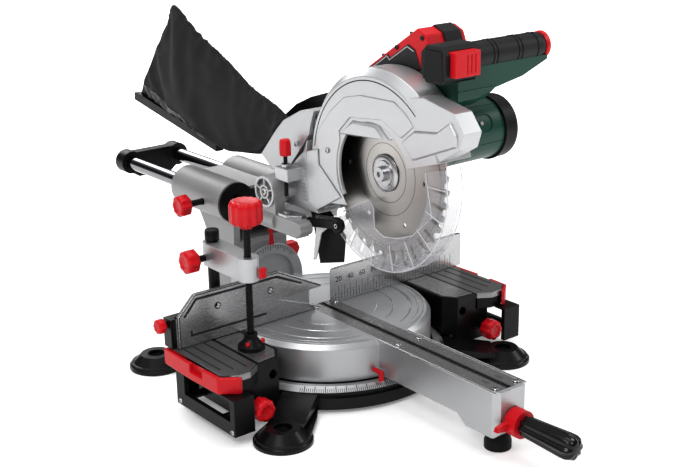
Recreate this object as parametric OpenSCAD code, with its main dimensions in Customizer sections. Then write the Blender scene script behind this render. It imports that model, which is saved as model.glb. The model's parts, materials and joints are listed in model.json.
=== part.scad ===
/* [Base and table] */
// Height of the work surface above the bench
table_z = 80; // [78:1:84]
// Radius of the turntable
drum_r = 133; // [131:1:134]
// Bench foot centres, half spacing left to right
foot_x = 180; // [174:1:184]
// Bench foot centres, half spacing front to back
foot_y = 142; // [138:1:146]
// Radius of the bench bolt holes
foot_hole_r = 4.5; // [3.5:0.5:5.5]
// Front end of the turntable arm
arm_front = 334; // [330:1:340]
// Half width of the turntable arm
arm_half = 25; // [24:0.5:26]
// Outer edge of the side tables
side_x = 232; // [228:1:236]

/* [Fence] */
// Front face of the fence behind the pivot
fence_y = 4; // [3:0.5:5]
// Height of the right fence above the table
fence_h = 47; // [40:1:50]
// Height of the sliding fence above the table
slide_fence_h = 65; // [60:1:66]

/* [Saw head] */
// Blade radius
blade_r = 108; // [100:1:108]
// Blade centre in front of the pivot
blade_y = -118; // [-119:0.5:-117]
// Blade centre above the bench
blade_z = 285; // [284:0.5:286]
// Outer radius of the upper guard
guard_r = 126; // [125:0.5:126]
// Head pivot behind the turntable axis
pivot_y = 63; // [62:0.5:64]
// Head pivot above the bench
pivot_z = 232; // [231:0.5:233]
// Grip axis in front of the turntable axis
grip_y = -200; // [-202:1:-198]
// Grip axis above the bench
grip_z = 428; // [426:1:430]

/* [Slide] */
// Half spacing of the two rails
rail_x = 40; // [39:0.5:41]
// Height of the rails
rail_z = 196; // [195:0.5:197]
// Radius of a rail
rail_r = 10; // [9:0.5:10]

/* [Drive] */
// Gear module
gear_m = 2; // [2]
// Teeth on the armature pinion
pinion_teeth = 13; // [13]
// Teeth on the spindle gear
wheel_teeth = 39; // [39]

/* [Hold-down clamp] */
// Clamp post, left of the turntable axis
post_x = -156; // [-158:1:-155]
// Clamp post, behind the turntable axis
post_y = 28; // [27:0.5:29]
// Clamp spindle in front of the turntable axis
spindle_y = -48; // [-50:1:-44]

/* [Hidden] */
$fn = 64;
run_fit = 0.05;
box_low = 14;
ring_r = 150;
guard_in = guard_r - 4;
motor_y = -150;
motor_z = blade_z + sqrt(pow((pinion_teeth + wheel_teeth) * gear_m / 2, 2) - pow(motor_y - blade_y, 2));
motor_r = 37;
carriage_front = 150;
carriage_rear = 268;
knob_x = 187;
hub_r = 19;
ear_in = 34;
ear_out = 50;
link_a = [-1.6, 201.4];
link_b = [-62, 212];
plate_screw_x = 16;
plate_screw_y = [-322, -158, 6];

// ---- helpers: bars and slabs along each axis ----
module xcyl(r, x0, x1, y, z) translate([x0, y, z]) rotate([0, 90, 0]) cylinder(r = r, h = x1 - x0);
module ycyl(r, y0, y1, x, z) translate([x, y0, z]) rotate([-90, 0, 0]) cylinder(r = r, h = y1 - y0);
module zcyl(r, z0, z1, x, y) translate([x, y, z0]) cylinder(r = r, h = z1 - z0);
module box(lo, hi) translate(lo) cube(hi - lo);
module slab_x(pts, x0, x1) translate([x0, 0, 0]) rotate([90, 0, 90]) linear_extrude(x1 - x0) polygon(pts);
module slab_y(pts, y0, y1) translate([0, y1, 0]) rotate([90, 0, 0]) linear_extrude(y1 - y0) polygon(pts);
module slab_z(pts, z0, z1) translate([0, 0, z0]) linear_extrude(z1 - z0) polygon(pts);
module both_sides() { children(); mirror([1, 0, 0]) children(); }

// A knob of revolution along +Z with flutes cut in its rim
module fluted(r, h, n, flute) difference() {
  cylinder(r = r, h = h);
  for (i = [0:n - 1]) rotate(i * 360 / n) translate([r + flute * 0.55, 0, -1]) cylinder(r = flute, h = h + 2, $fn = 20);
}

// Point in the blade's plane at radius r and angle t above the front horizontal
function pt(r, t) = [blade_y - r * cos(t), blade_z + r * sin(t)];

// Wedge of the blade's plane between two angles, cut across the given x range
module wedge(t0, t1, x0, x1, r = 220)
  slab_x(concat([[blade_y, blade_z]], [for (i = [0:6]) pt(r, t0 + (t1 - t0) * i / 6)]), x0, x1);

// Body of revolution about the blade's axis from a profile of [radius, x]
module about_blade(profile) translate([0, blade_y, blade_z]) rotate([0, 90, 0])
  rotate_extrude($fn = 96) polygon(profile);

// ---- base ----
module base_box() difference() {
  union() {
    slab_z([[-134, -72], [-147, -90], [-178, -92], [-178, 42], [-134, 42]], 50, table_z);
    slab_z([[-134, -72], [-147, -90], [-178, -92], [-200, -92], [-200, 42], [-134, 42]], box_low, 57);
  }
  difference() {
    union() {
      slab_z([[-139, -70], [-149, -85], [-173, -86], [-173, 37], [-139, 37]], 49, table_z - 6);
      slab_z([[-139, -70], [-149, -85], [-194, -86], [-194, 37], [-139, 37]], box_low - 1, 51);
    }
    zcyl(151, 0, 36, 0, 0);
    zcyl(141, 35, table_z, 0, 0);
    zcyl(14, 0, table_z, post_x, post_y);
    box([-168, -90, 0], [-160, 40, 32]);
    box([-194, -92, 20], [-178, -76, 44]);
  }
  zcyl(drum_r + 3.2, 20, table_z + 1, 0, 0);
  zcyl(ring_r + 0.6, 25.8, 32.4, 0, 0);
  for (y = [-84, -8]) xcyl(5 + run_fit, -210, -140, y, 22);
  ycyl(6, -100, -70, -155, 60);
  ycyl(4 + run_fit, -100, -70, -knob_x, 32);
  zcyl(7 + run_fit, 40, table_z + 1, post_x, post_y);
}
module foot_and_leg() {
  a = atan2(foot_y, foot_x);
  r = norm([foot_x, foot_y]);
  difference() {
    union() {
      translate([-foot_x, -foot_y, 0]) {
        cylinder(r = 35.5, h = 4);
        translate([0, 0, 4]) cylinder(r1 = 34, r2 = 20, h = 14);
      }
      rotate(180 + a) slab_y([[138, 11], [r - 8, 11], [r - 14, 17], [162, 25], [138, 25]], -22, 22);
    }
    zcyl(foot_hole_r, -1, 40, -foot_x, -foot_y);
    zcyl(11, 12, 40, -foot_x, -foot_y);
    zcyl(140, -1, 60, 0, 0);
  }
}
module base_frame() color("#202224") {
  both_sides() base_box();
  both_sides() { foot_and_leg(); mirror([0, 1, 0]) foot_and_leg(); }
  difference() {
    union() {
      zcyl(ring_r, 5, 25.8, 0, 0);
      zcyl(ring_r + 4, 5, 20, 0, 0);
    }
    zcyl(128, 13, 40, 0, 0);
    zcyl(10, 0, 40, 0, 0);
  }
  difference() {
    union() {
      zcyl(30, 6, 32, 0, 0);
      for (a = [15:60:345]) rotate(a) box([20, -4, 12], [129, 4, 24]);
    }
    zcyl(10, 0, 40, 0, 0);
  }
}
module scale_ring() color("silver") rotate_extrude($fn = 128)
  polygon([[136.4, 25.8], [150.5, 25.8], [143.5, 31.8], [136.4, 31.8]]);

// ---- table extensions (drawn on the left, mirrored for the right) ----
module ext_body() {
  difference() {
    slab_z([[-side_x + 3, 22], [-side_x + 3, -92], [-214, -103], [-196, -103], [-179, -94], [-179, 22]], 58, 72);
    zcyl(drum_r + 12, 0, 90, 0, 0);
  }
  difference() {
    box([-side_x, -121, 13], [-side_x + 6, 4, 58]);
    box([-side_x - 1, -112, 30], [-side_x + 8, -14, 55]);
  }
  box([-side_x + 6, -121, 13], [-204, -115, 58]);
  box([-side_x + 6, -2, 13], [-204, 4, 58]);
  slab_z([[-side_x, -121], [-204, -121], [-204, -101], [-214, -103], [-side_x, -92]], 56, 58.5);
  for (y = [-84, -8]) xcyl(5, -side_x + 5, -157, y, 22);
}
module ext_plate() difference() {
  slab_z([[-side_x + 3, 22], [-side_x + 3, -92], [-214, -104], [-196, -104], [-178.6, -93], [-178.6, 22]], 72, table_z);
  for (x = [-220, -207, -191]) box([x - 0.8, -76, table_z - 1.2], [x + 0.8, 0, table_z + 1]);
}
module ext_trim() difference() {
  slab_z([[-side_x - 3, 24], [-side_x - 5, -40], [-side_x - 3, -93], [-216, -109], [-210, -108],
    [-214, -104.2], [-side_x + 2.8, -92.2], [-side_x + 2.8, 24]], 58.6, table_z - 1);
  box([-side_x - 8, -62, 68], [-side_x + 2, -36, table_z]);
}
module ext_knob() {
  translate([-knob_x, -100, 32]) rotate([90, 0, 0]) fluted(14, 22, 8, 3.4);
  ycyl(6, -100.1, -94, -knob_x, 32);
  ycyl(4, -96, -80, -knob_x, 32);
}
module extension_left() color("#202224") ext_body();
module extension_plate_left() color("#6c7074") ext_plate();
module extension_trim_left() color("#d8202a") ext_trim();
module extension_knob_left() color("#d8202a") ext_knob();
module extension_right() color("#202224") mirror([1, 0, 0]) ext_body();
module extension_plate_right() color("#6c7074") mirror([1, 0, 0]) ext_plate();
module extension_trim_right() color("#d8202a") mirror([1, 0, 0]) ext_trim();
module extension_knob_right() color("#d8202a") mirror([1, 0, 0]) ext_knob();

// ---- fence ----
fence_back = fence_y + 6;
module fence_right() color("silver") difference() {
  union() {
    box([6, fence_y, table_z + 0.6], [240, fence_back, table_z + fence_h]);
    box([144, fence_back, table_z], [228, fence_y + 18, table_z + 9]);
    for (x = [176, 224]) slab_x([[fence_back - 1, table_z + 5], [fence_y + 17, table_z + 5],
      [fence_back - 1, table_z + fence_h - 6]], x - 2.5, x + 2.5);
  }
  slab_z([[5, fence_y], [5, 30], [40, 30]], table_z - 1, table_z + fence_h + 1);
  for (x = [167, 210]) zcyl(3.3, table_z - 1, table_z + 20, x, fence_y + 13);
  zcyl(9, table_z - 1, table_z + 10, 156, 28);
}
module fence_left() color("silver") difference() {
  union() {
    box([-224, fence_y + 5.3, table_z + 0.6], [-24, fence_y + 11, table_z + 36]);
    box([-224, fence_y + 10.9, table_z], [-180, fence_y + 16, table_z + 9]);
  }
  slab_z([[-23, fence_y + 4], [-23, 30], [-48, 30]], table_z - 1, table_z + 60);
  xcyl(2.5, -230, -200, fence_y + 8.2, table_z + 30);
}
module fence_clamp_block() color("#202224") difference() {
  union() {
    box([-232, fence_y + 5.3, table_z + 1], [-224.1, fence_y + 22, table_z + 38]);
    box([-232, fence_y + 11.1, table_z + 12], [-206, fence_y + 22, table_z + 38]);
  }
  xcyl(4 + run_fit, -240, -210, fence_y + 15, table_z + 30);
}
module fence_slide() color("#b9bcc0") {
  z0 = table_z + 1;
  top = table_z + slide_fence_h;
  difference() {
    slab_y([[-224, z0], [-20, z0], [-20, 86], [-75, 107], [-9, 109], [-9, 112], [-76, top], [-200, top],
      [-224, 121]], fence_y, fence_y + 5);
    for (x = [-168, -89]) ycyl(3.2, 0, 20, x, 123);
    slab_y([[-208, 92], [-96, 92], [-96, 95], [-205, 95], [-205, 100], [-208, 100]], -1, fence_y + 1.6);
    slab_y([[-214, 118], [-197, 137], [-79, 137], [-40, 119], [-40, 122], [-78, 140], [-199, 140],
      [-217, 120]], -1, fence_y + 1.6);
  }
}
module fence_knob() color("#d8202a") {
  translate([-233, fence_y + 15, table_z + 30]) rotate([0, -90, 0]) fluted(9.5, 13, 8, 2.6);
  xcyl(4, -233.1, -214, fence_y + 15, table_z + 30);
}

// ---- turntable ----
module turntable() color("#c9ccd0") {
  difference() {
    union() {
      difference() {
        union() {
          zcyl(drum_r, 32.3, table_z - 6, 0, 0);
          translate([0, 0, table_z - 6]) cylinder(r1 = drum_r, r2 = drum_r - 5, h = 6);
        }
        difference() {
          zcyl(drum_r - 7, 30, table_z - 8, 0, 0);
          zcyl(28, 30, table_z, 0, 0);
          for (a = [0:60:300]) rotate(a) box([20, -3, 36], [drum_r - 3, 3, table_z - 7]);
          box([-24, -drum_r, 34], [24, 30, table_z]);
          box([-50, 96, 34], [50, 130, table_z]);
        }
      }
      slab_x([[-100, 36], [-270, 35], [-285, 24], [-arm_front + 6, 24], [-arm_front, 30],
        [-arm_front, table_z], [-100, table_z]], -arm_half, arm_half);
      box([-45, 100, 40], [45, 149.8, table_z]);
      difference() {
        ycyl(53, 128, 149.8, 0, table_z);
        box([-60, 120, 0], [60, 160, 36]);
        ycyl(38, 124, 132, 0, table_z + 1);
      }
      ycyl(15 - run_fit, 149.7, 172, 0, table_z);
      zcyl(28, 32, 40, 0, 0);
      zcyl(10 - run_fit, 14, 34, 0, 0);
    }
    box([-21, -328, table_z - 4], [21, 17, table_z + 1]);
    box([-9, -328, 58], [9, 16, table_z]);
    box([-14, -262, 20], [14, -140, 52]);
    for (s = [-1, 1]) slab_z([[s * 30, -arm_front - 1], [s * 18, -arm_front - 1], [s * 30, -arm_front + 15]],
      20, table_z + 1);
    ycyl(5 + run_fit, -340, -320, 0, 42);
    zcyl(5 + run_fit, 20, 40, 0, -312);
    for (r = [84, 108, 124]) difference() {
      zcyl(r + 1, table_z - 1, table_z + 1, 0, 0);
      zcyl(r - 1, table_z - 2, table_z + 2, 0, 0);
      box([-30, -140, 70], [30, 40, 90]);
    }
    for (x = [-plate_screw_x, plate_screw_x], y = plate_screw_y) zcyl(1.8, 60, table_z, x, y);
  }
}
module insert_plates() color("#55585c") both_sides() difference() {
  slab_y([[2.3, table_z], [21, table_z], [21, table_z - 4], [6, table_z - 4]], -328, 17);
  for (y = plate_screw_y) { zcyl(1.8, 60, 90, plate_screw_x, y); zcyl(3.4, table_z - 2, 90, plate_screw_x, y); }
}
module insert_screws() color("silver") for (x = [-plate_screw_x, plate_screw_x], y = plate_screw_y) difference() {
  union() { zcyl(3.4, table_z - 2, table_z, x, y); zcyl(1.8, 62, table_z - 1.5, x, y); }
  box([x - 2, y - 0.4, table_z - 0.8], [x + 2, y + 0.4, table_z + 1]);
}
module angle_pointer() color("#d8202a") {
  box([-36, -146.5, 33], [-30, -143, 46]);
  box([-36, -146, 43], [-30, -130, 46]);
}
module arm_foot() color("#1a1a1a") {
  zcyl(16, 0, 9, 0, -312);
  translate([0, -312, 9]) cylinder(r1 = 16, r2 = 13, h = 11);
  zcyl(5, 19, 34, 0, -312);
}
module mitre_grip() color("#17181a") {
  translate([0, -354, 42]) rotate([90, 0, 0]) fluted(14.5, 70, 8, 3);
  translate([0, -424, 42]) rotate([90, 0, 0]) cylinder(r1 = 13.6, r2 = 11.5, h = 5);
  ycyl(5, -354.1, -322, 0, 42);
}
module detent_lever() color("#d8202a") {
  difference() {
    ycyl(16.5, -352, -335.3, 0, 42);
    ycyl(5 + run_fit, -356, -330, 0, 42);
  }
  slab_y([[-15, 36], [-15, 47], [-31, 44], [-33, 39]], -343, -337);
}

// ---- bevel bracket and slide ----
module bevel_bracket() color("#b6babe") difference() {
  union() {
    both_sides() ycyl(28, carriage_front, carriage_rear, -rail_x, rail_z);
    box([-rail_x, carriage_front, 176], [rail_x, carriage_rear, 214]);
    slab_x([[carriage_front, 180], [carriage_front + 2, 84], [carriage_front + 4, 60], [196, 60], [196, 106],
      [208, 126], [244, 180]], -44, 44);
    ycyl(43.5, carriage_front, 178, 0, table_z);
    difference() {
      ycyl(53, carriage_front, 172, 0, table_z);
      box([-60, 140, 0], [60, 260, table_z]);
    }
  }
  for (s = [-1, 1]) ycyl(rail_r + run_fit, carriage_front - 1, carriage_rear + 1, s * rail_x, rail_z);
  ycyl(15, carriage_front - 1, 174, 0, table_z);
  ycyl(5 + run_fit, 170, 210, 0, table_z);
  box([-34, carriage_front - 1, 138], [34, 196, 172]);
  xcyl(5 + run_fit, -80, -rail_x, 188, rail_z - 2);
}
module rail_bushes() color("#17181a") {
  difference() {
    union() {
      for (s = [-1, 1]) ycyl(25, carriage_front - 3, carriage_front, s * rail_x, rail_z);
      box([-rail_x, carriage_front - 3, 180], [rail_x, carriage_front, 210]);
    }
    for (s = [-1, 1]) ycyl(rail_r + 0.4, 140, 160, s * rail_x, rail_z);
  }
  for (s = [-1, 1]) difference() {
    ycyl(16, carriage_rear, carriage_rear + 3, s * rail_x, rail_z);
    ycyl(rail_r + 0.4, carriage_rear - 1, carriage_rear + 4, s * rail_x, rail_z);
  }
}
module bevel_lever() color("#d8202a") {
  ycyl(13, 196.3, 212, 0, table_z);
  ycyl(5, 176, 197, 0, table_z);
  slab_y([[8, 74], [8, 88], [72, 96], [78, 84], [70, 78]], 200, 208);
  slab_y([[66, 76], [66, 98], [96, 98], [100, 88], [94, 76]], 197, 211);
}
module rail_lock_knob() color("#d8202a") {
  translate([-88, 188, rail_z - 2]) rotate([0, -90, 0]) fluted(15, 20, 8, 3.6);
  xcyl(5, -88.1, -rail_x - rail_r - 1, 188, rail_z - 2);
}
module slide_rails() color("#d8dadc") for (s = [-1, 1]) ycyl(rail_r, 50, 440, s * rail_x, rail_z);
module rail_end_cap() color("#17181a") difference() {
  union() {
    for (s = [-1, 1]) ycyl(17, 425, 446, s * rail_x, rail_z);
    slab_y([[-rail_x, 182], [-rail_x + 12, 172], [rail_x - 12, 172], [rail_x, 182], [rail_x, 210],
      [-rail_x, 210]], 427, 444);
  }
  for (s = [-1, 1]) ycyl(rail_r, 420, 440, s * rail_x, rail_z);
}
module ear_shape(x0, x1) {
  slab_x([[43, 184], [43, pivot_z], [84, pivot_z], [84, 184]], x0, x1);
  xcyl(21, x0, x1, pivot_y, pivot_z);
}
module head_bracket() color("#a9adb1") difference() {
  union() {
    for (s = [-1, 1]) ycyl(14, 45, 86, s * rail_x, rail_z);
    box([-rail_x, 62, 180], [rail_x, 86, 207]);
    ear_shape(-ear_out, -ear_in);
    ear_shape(ear_in, ear_out);
    box([-ear_out, 10, 184], [-27, 50, 205]);
    box([-ear_out, -2, 184], [-31, 12, 205]);
    xcyl(9, -ear_out, -31, link_a[0], link_a[1] - 6);
    xcyl(3, -ear_out, -25.6, link_a[0], link_a[1]);
  }
  for (s = [-1, 1]) ycyl(rail_r, 50, 90, s * rail_x, rail_z);
  xcyl(6, -60, 60, pivot_y, pivot_z);
  zcyl(2.5, 190, 210, -40, 32);
  difference() {
    xcyl(18, -ear_out - 1, -ear_out + 4, pivot_y, pivot_z);
    xcyl(9, -ear_out - 2, -ear_out + 5, pivot_y, pivot_z);
    for (a = [90:72:378]) translate([0, pivot_y, pivot_z]) rotate([a, 0, 0])
      box([-ear_out - 2, 0, -1], [-ear_out + 5, 20, 1]);
  }
}
module pivot_pin() color("#8d9094") {
  xcyl(6, -ear_out + 1, ear_out - 1, pivot_y, pivot_z);
}
module stop_plate() color("#d9c77a") {
  slab_z([[-49, 38], [-49, 20], [-36, 6], [-28, 6], [-28, 22], [-33, 38]], 205, 209);
  zcyl(5, 208.9, 211, -40, 32);
  zcyl(2.5 - run_fit, 194, 206, -40, 32);
}
module guard_link() color("#1c1d1f") difference() {
  union() {
    xcyl(7, -30, -26, link_a[0], link_a[1]);
    xcyl(8, -30, -26, link_b[0], link_b[1]);
    d = (link_b - link_a) / norm(link_b - link_a);
    n = [-d[1], d[0]];
    slab_x([link_a + n * 5, link_b + n * 6, link_b - n * 6, link_a - n * 5], -30, -26);
  }
  xcyl(3 + run_fit, -40, -20, link_a[0], link_a[1]);
  xcyl(3.4, -40, -20, link_b[0], link_b[1]);
}

// ---- head ----
module head_arm() color("#c3c6ca") difference() {
  union() {
    xcyl(hub_r, -ear_in + 0.5, ear_in - 0.5, pivot_y, pivot_z);
    slab_x([[66, 214], [-14, 214.5], [-44, 238], [-40, 306], [4, 311], [14, 290], [50, 258], [78, 243]], -24, 24);
    slab_x([[20, 252], [46, 252], [46, 268], [20, 268]], -46, -23.9);
  }
  xcyl(guard_r + 0.25, -60, 60, blade_y, blade_z);
  xcyl(6 + run_fit, -60, 60, pivot_y, pivot_z);
  zcyl(3 + run_fit, 200, 300, -38, 34);
}
module upper_guard() color("#c9ccd0") difference() {
  union() {
    about_blade([[64, -22], [guard_r - 9, -22], [guard_r, -12], [guard_r, 22], [34, 22], [34, 18],
      [guard_in, 18], [guard_in, -10.5], [guard_r - 10.5, -18], [64, -18]]);
    difference() {
      slab_x([pt(guard_r - 4, 19), [-266, 344], [-272, 362], [-256, 382], [-206, 392], pt(guard_r - 4, 58)], -22, 4);
      xcyl(guard_r - 2, -19.5, 20, blade_y, blade_z);
      xcyl(guard_r - 3, 19.9, 40, blade_y, blade_z);
      slab_x([[-230, 330], [-262, 350], [-268, 362], [-252, 376], [-226, 378]], -17, -1);
    }
  }
  wedge(-148, 18, -40, 40);
  slab_x([pt(100, 165), pt(140, 165), pt(140, 180), pt(100, 180)], -14, 14);
}
module dust_chute() color("#b9bcc0") difference() {
  slab_x([[0, 312], [6, 311.5], [19, 296], [51, 259], [86, 252], [110, 268], [76, 305], [58, 322], [22, 340],
    [-6, 344], [-8, 330]], -22, 22);
  xcyl(guard_r + 0.25, -60, 60, blade_y, blade_z);
  slab_x([[-20, 326], [8, 318], [24, 301], [55, 264], [84, 258], [118, 268], [76, 312], [56, 316], [20, 334],
    [-20, 340]], -16, 16);
}
// Cross-sections of the bag: top point, bottom point and half thickness, from the neck to the far end
bag_cuts = [[[74, 309], [112, 272], 20], [[88, 322], [142, 264], 24], [[120, 334], [192, 262], 28],
  [[158, 345], [226, 262], 31], [[213, 372], [284, 267], 32], [[285, 403], [352, 279], 24],
  [[343, 434], [424, 297], 10], [[362, 410], [455, 298], 4]];
bag_sides = 12;
module dust_bag() color("#2b2c2e") polyhedron(
  points = [for (c = bag_cuts, k = [0:bag_sides - 1]) let(t = 360 * k / bag_sides, f = (1 + cos(t)) / 2)
    [c[2] * sin(t), c[1][0] + (c[0][0] - c[1][0]) * f, c[1][1] + (c[0][1] - c[1][1]) * f]],
  faces = concat([[for (k = [0:bag_sides - 1]) k]],
    [for (i = [0:len(bag_cuts) - 2], k = [0:bag_sides - 1]) let(a = i * bag_sides + k,
      b = i * bag_sides + (k + 1) % bag_sides) [a, a + bag_sides, b + bag_sides, b]],
    [[for (k = [bag_sides - 1:-1:0]) (len(bag_cuts) - 1) * bag_sides + k]]));
module bag_clip_bar() color("#17181a") slab_x([[244, 242], [466, 281], [466, 292], [460, 293.4], [244, 253.8]], -6, 6);
module depth_stop_screw() color("#d8202a") {
  zcyl(3, 230, 284, -38, 34);
  translate([-38, 34, 283]) fluted(8, 21, 6, 2.4);
}
module chip_flap() color("#17181a") slab_x([[10, 214], [-12, 213.5], [-43, 188], [-38, 152], [10, 138], [20, 180],
  [30, 214]], -5, -3);
module gear_case() color("#1f4d42") difference() {
  union() {
    xcyl(46, 22.3, 54, blade_y, blade_z);
    xcyl(motor_r, 22.3, 54, motor_y, motor_z);
    xcyl(31 - run_fit, 8, 23, blade_y, blade_z);
    slab_x([[blade_y + 34, blade_z], [-60, 322], [-40, 330], [-40, 339], [-130, 350]], 22.3, 54);
  }
  xcyl(42, 29, 50, blade_y, blade_z);
  xcyl(16, 29, 50, motor_y, motor_z);
  xcyl(8 + run_fit, 0, 60, blade_y, blade_z);
  xcyl(22.5, 0, 9, blade_y, blade_z);
  xcyl(5 + run_fit, 26, 60, motor_y, motor_z);
}
module motor_housing() color("#1f4d42") difference() {
  xcyl(motor_r, 54, 128, motor_y, motor_z);
  xcyl(motor_r - 4, 58, 129, motor_y, motor_z);
  xcyl(9, 50, 60, motor_y, motor_z);
}
module motor_cap() color("#17181a") difference() {
  union() {
    xcyl(motor_r + 2, 128, 146, motor_y, motor_z);
    xcyl(motor_r - 3, 145, 152, motor_y, motor_z);
  }
  xcyl(motor_r - 5, 127, 143, motor_y, motor_z);
  xcyl(5 + run_fit, 140, 148, motor_y, motor_z);
  for (a = [0:30:330]) translate([0, motor_y, motor_z]) rotate([a, 0, 0]) box([146, 14, -2], [153, 28, 2]);
}
// Involute gear outline: half the tooth angle at a given radius
function inv(a) = tan(a) * 180 / PI - a;
function tooth(n, m, press, lash) = let(rp = n * m / 2, rb = rp * cos(press), ra = rp + 0.85 * m,
  rf = rp - 1.15 * m, half = 90 / n - lash * 180 / (PI * rp * 2), lo = max(rb, rf + 0.1),
  off = half + inv(press),
  side = [for (i = [0:5]) let(r = lo + (ra - lo) * i / 5, t = off - inv(acos(min(1, rb / r)))) [r, t]])
  concat([[rf, -side[0][1] - 0.6]], [for (i = [0:5]) [side[i][0], -side[i][1]]],
  [for (i = [5:-1:0]) side[i]], [[rf, side[0][1] + 0.6]]);
module gear(n, m, turn) rotate(turn) linear_extrude(10) polygon([for (k = [0:n - 1], p = tooth(n, m, 25, 0.35))
  [p[0] * cos(p[1] + k * 360 / n), p[0] * sin(p[1] + k * 360 / n)]]);
// Direction of the motor axis seen from the spindle, in the plane across them
mesh_dir = atan2(motor_z - blade_z, motor_y - blade_y);
module across_x(x, y, z) translate([x, y, z]) rotate([90, 0, 90]) children();
module armature() color("#b08d57") {
  xcyl(5, 28, 147.5, motor_y, motor_z);
  xcyl(24, 70, 118, motor_y, motor_z);
  xcyl(15, 120, 128, motor_y, motor_z);
  across_x(34, motor_y, motor_z) gear(pinion_teeth, gear_m, mesh_dir + 180 + 180 / pinion_teeth);
}
module spindle() color("#9a9da1") difference() {
  union() {
    xcyl(8, 5, 53, blade_y, blade_z);
    xcyl(22, 1.2, 5.1, blade_y, blade_z);
    xcyl(15, -1.2, 1.3, blade_y, blade_z);
    across_x(34, blade_y, blade_z) gear(wheel_teeth, gear_m, mesh_dir);
  }
  xcyl(4, -2, 26, blade_y, blade_z);
}
module blade() color("#b4b7ba") {
  teeth = 40;
  step = 360 / teeth;
  translate([-1.2, blade_y, blade_z]) rotate([90, 0, 90]) difference() {
    linear_extrude(2.4) polygon([for (k = [0:teeth - 1], q = [[blade_r, 0], [blade_r - 1.5, 0.34],
      [blade_r - 7, 0.52], [blade_r - 7.5, 0.92]]) [q[0] * cos((k + q[1]) * step), q[0] * sin((k + q[1]) * step)]]);
    translate([0, 0, -1]) cylinder(r = 15, h = 5);
    for (a = [0:60:300]) rotate(a) translate([66, 0, -1]) cylinder(r = 3, h = 5, $fn = 24);
  }
}
module blade_flanges() color("#8d9094") difference() {
  union() {
    xcyl(22, -4, -1.2, blade_y, blade_z);
    xcyl(16, -7, -3.9, blade_y, blade_z);
  }
  xcyl(4, -10, 0, blade_y, blade_z);
}
module arbor_bolt() color("#77797c") difference() {
  union() {
    xcyl(4, -7.1, 24, blade_y, blade_z);
    xcyl(9, -13, -7, blade_y, blade_z);
  }
  translate([-14, blade_y, blade_z]) rotate([0, 90, 0]) cylinder(r = 3.6, h = 5, $fn = 6);
}
module lower_guard() color("#d8dde0") {
  o = guard_in - 2.5;
  difference() {
    about_blade([[84, -12], [o, -12], [o, 10], [40, 10], [40, 8], [o - 2, 8], [o - 2, -10], [84, -10]]);
    wedge(14, 220, -40, 40);
    for (t = [-132:11:6]) slab_x([pt(92, t), pt(o - 6, t - 0.8), pt(o - 6, t + 2.8), pt(92, t + 3)], -13, -9);
  }
  {
    about_blade([[31, 8], [41, 8], [41, 14], [31, 14]]);
  }
}
module chamfer_block(x0, x1, y0, y1, z0, z1, c) slab_x([[y0 + c, z0], [y1 - c, z0], [y1, z0 + c], [y1, z1 - c],
  [y1 - c, z1], [y0 + c, z1], [y0, z1 - c], [y0, z0 + c]], x0, x1);
module handle_housing() color("#1f4d42") difference() {
  union() {
    slab_x([[-62, 355], [-173, 422], [-186, 412], [-208, 402], [-214, 392], [-196, 376], [-172, 363.5],
      [-128, 363.5], [-108, 352], [-62, 346]], 24, 84);
    slab_y([[24, 382], [56, 382], [75, 389], [127, 398], [168, 413], [168, 419], [24, 419]],
      grip_y - 13, grip_y + 13);
    slab_x([[-63, 355], [-63, 346], [18, 334], [18, 350]], 34, 52);
  }
  xcyl(16.1, 49.9, 200, grip_y, grip_z);
  chamfer_block(-10, 50.1, -220, -180, 404, 446, 8);
  box([60, -200, 410], [104, -170, 440]);
}
module handle_grip() color("#1d1e20") difference() {
  union() {
    chamfer_block(-2, 50, -220, -180, 404, 446, 9);
    xcyl(16, 49.9, 158, grip_y, grip_z);
    translate([158, grip_y, grip_z]) rotate([0, 90, 0]) cylinder(r1 = 16, r2 = 13.5, h = 10);
  }
  box([5, -230, 412], [43, -211, 441]);
  box([66, -194, 421], [100, -160, 435]);
}
module lockoff_lever() color("#d8202a") difference() {
  box([5.5, -229, 412.5], [42.5, -216, 440.5]);
  for (x = [22, 28, 34]) box([x, -230, 416], [x + 2, -227.5, 437]);
}
module trigger() color("#17181a") box([66.4, -190, 421.4], [99.6, -176, 434.6]);
module battery_pack() color("#c8202a") {
  slab_x([[-48, 396], [-143, 456], [-158, 450], [-170, 422.7], [-64, 357.5]], 25, 84);
}
module carry_handle() color("#17181a") slab_x([[18.2, 352], [40, 352], [75, 341], [108, 326], [136, 306],
  [124, 294], [94, 306], [66, 318], [40, 330], [18.2, 334]], 34, 52);

// ---- hold-down clamp ----
arm_z0 = 168;
arm_z1 = 197;
module clamp_post() color("#2a2c2e") {
  zcyl(7, 40, 201, post_x, post_y);
  zcyl(8.5, 200.9, 212, post_x, post_y);
}
module clamp_arm() color("#c9ccd0") difference() {
  union() {
    zcyl(12, arm_z0, arm_z1, post_x, post_y);
    box([post_x - 12, spindle_y, arm_z0], [post_x + 12, post_y, arm_z1]);
    zcyl(13, arm_z0, arm_z1, post_x, spindle_y);
  }
  zcyl(7 + run_fit, 100, 220, post_x, post_y);
  zcyl(4.6 + run_fit, 100, 220, post_x, spindle_y);
  xcyl(3.5 + run_fit, post_x - 20, post_x, post_y, 178);
}
module clamp_post_knob() color("#d8202a") {
  translate([post_x - 22, post_y, 178]) rotate([0, -90, 0]) fluted(15, 20, 8, 3.6);
  xcyl(3.5, post_x - 22.1, post_x - 8, post_y, 178);
}
module clamp_spindle() color("#2a2624") zcyl(4.6, 94, 236, post_x, spindle_y);
module clamp_knob() color("#d8202a") difference() {
  union() {
    translate([post_x, spindle_y, 238]) fluted(20, 28, 12, 3);
    zcyl(8, 229, 238.1, post_x, spindle_y);
  }
  zcyl(4.6, 220, 236, post_x, spindle_y);
}
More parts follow.
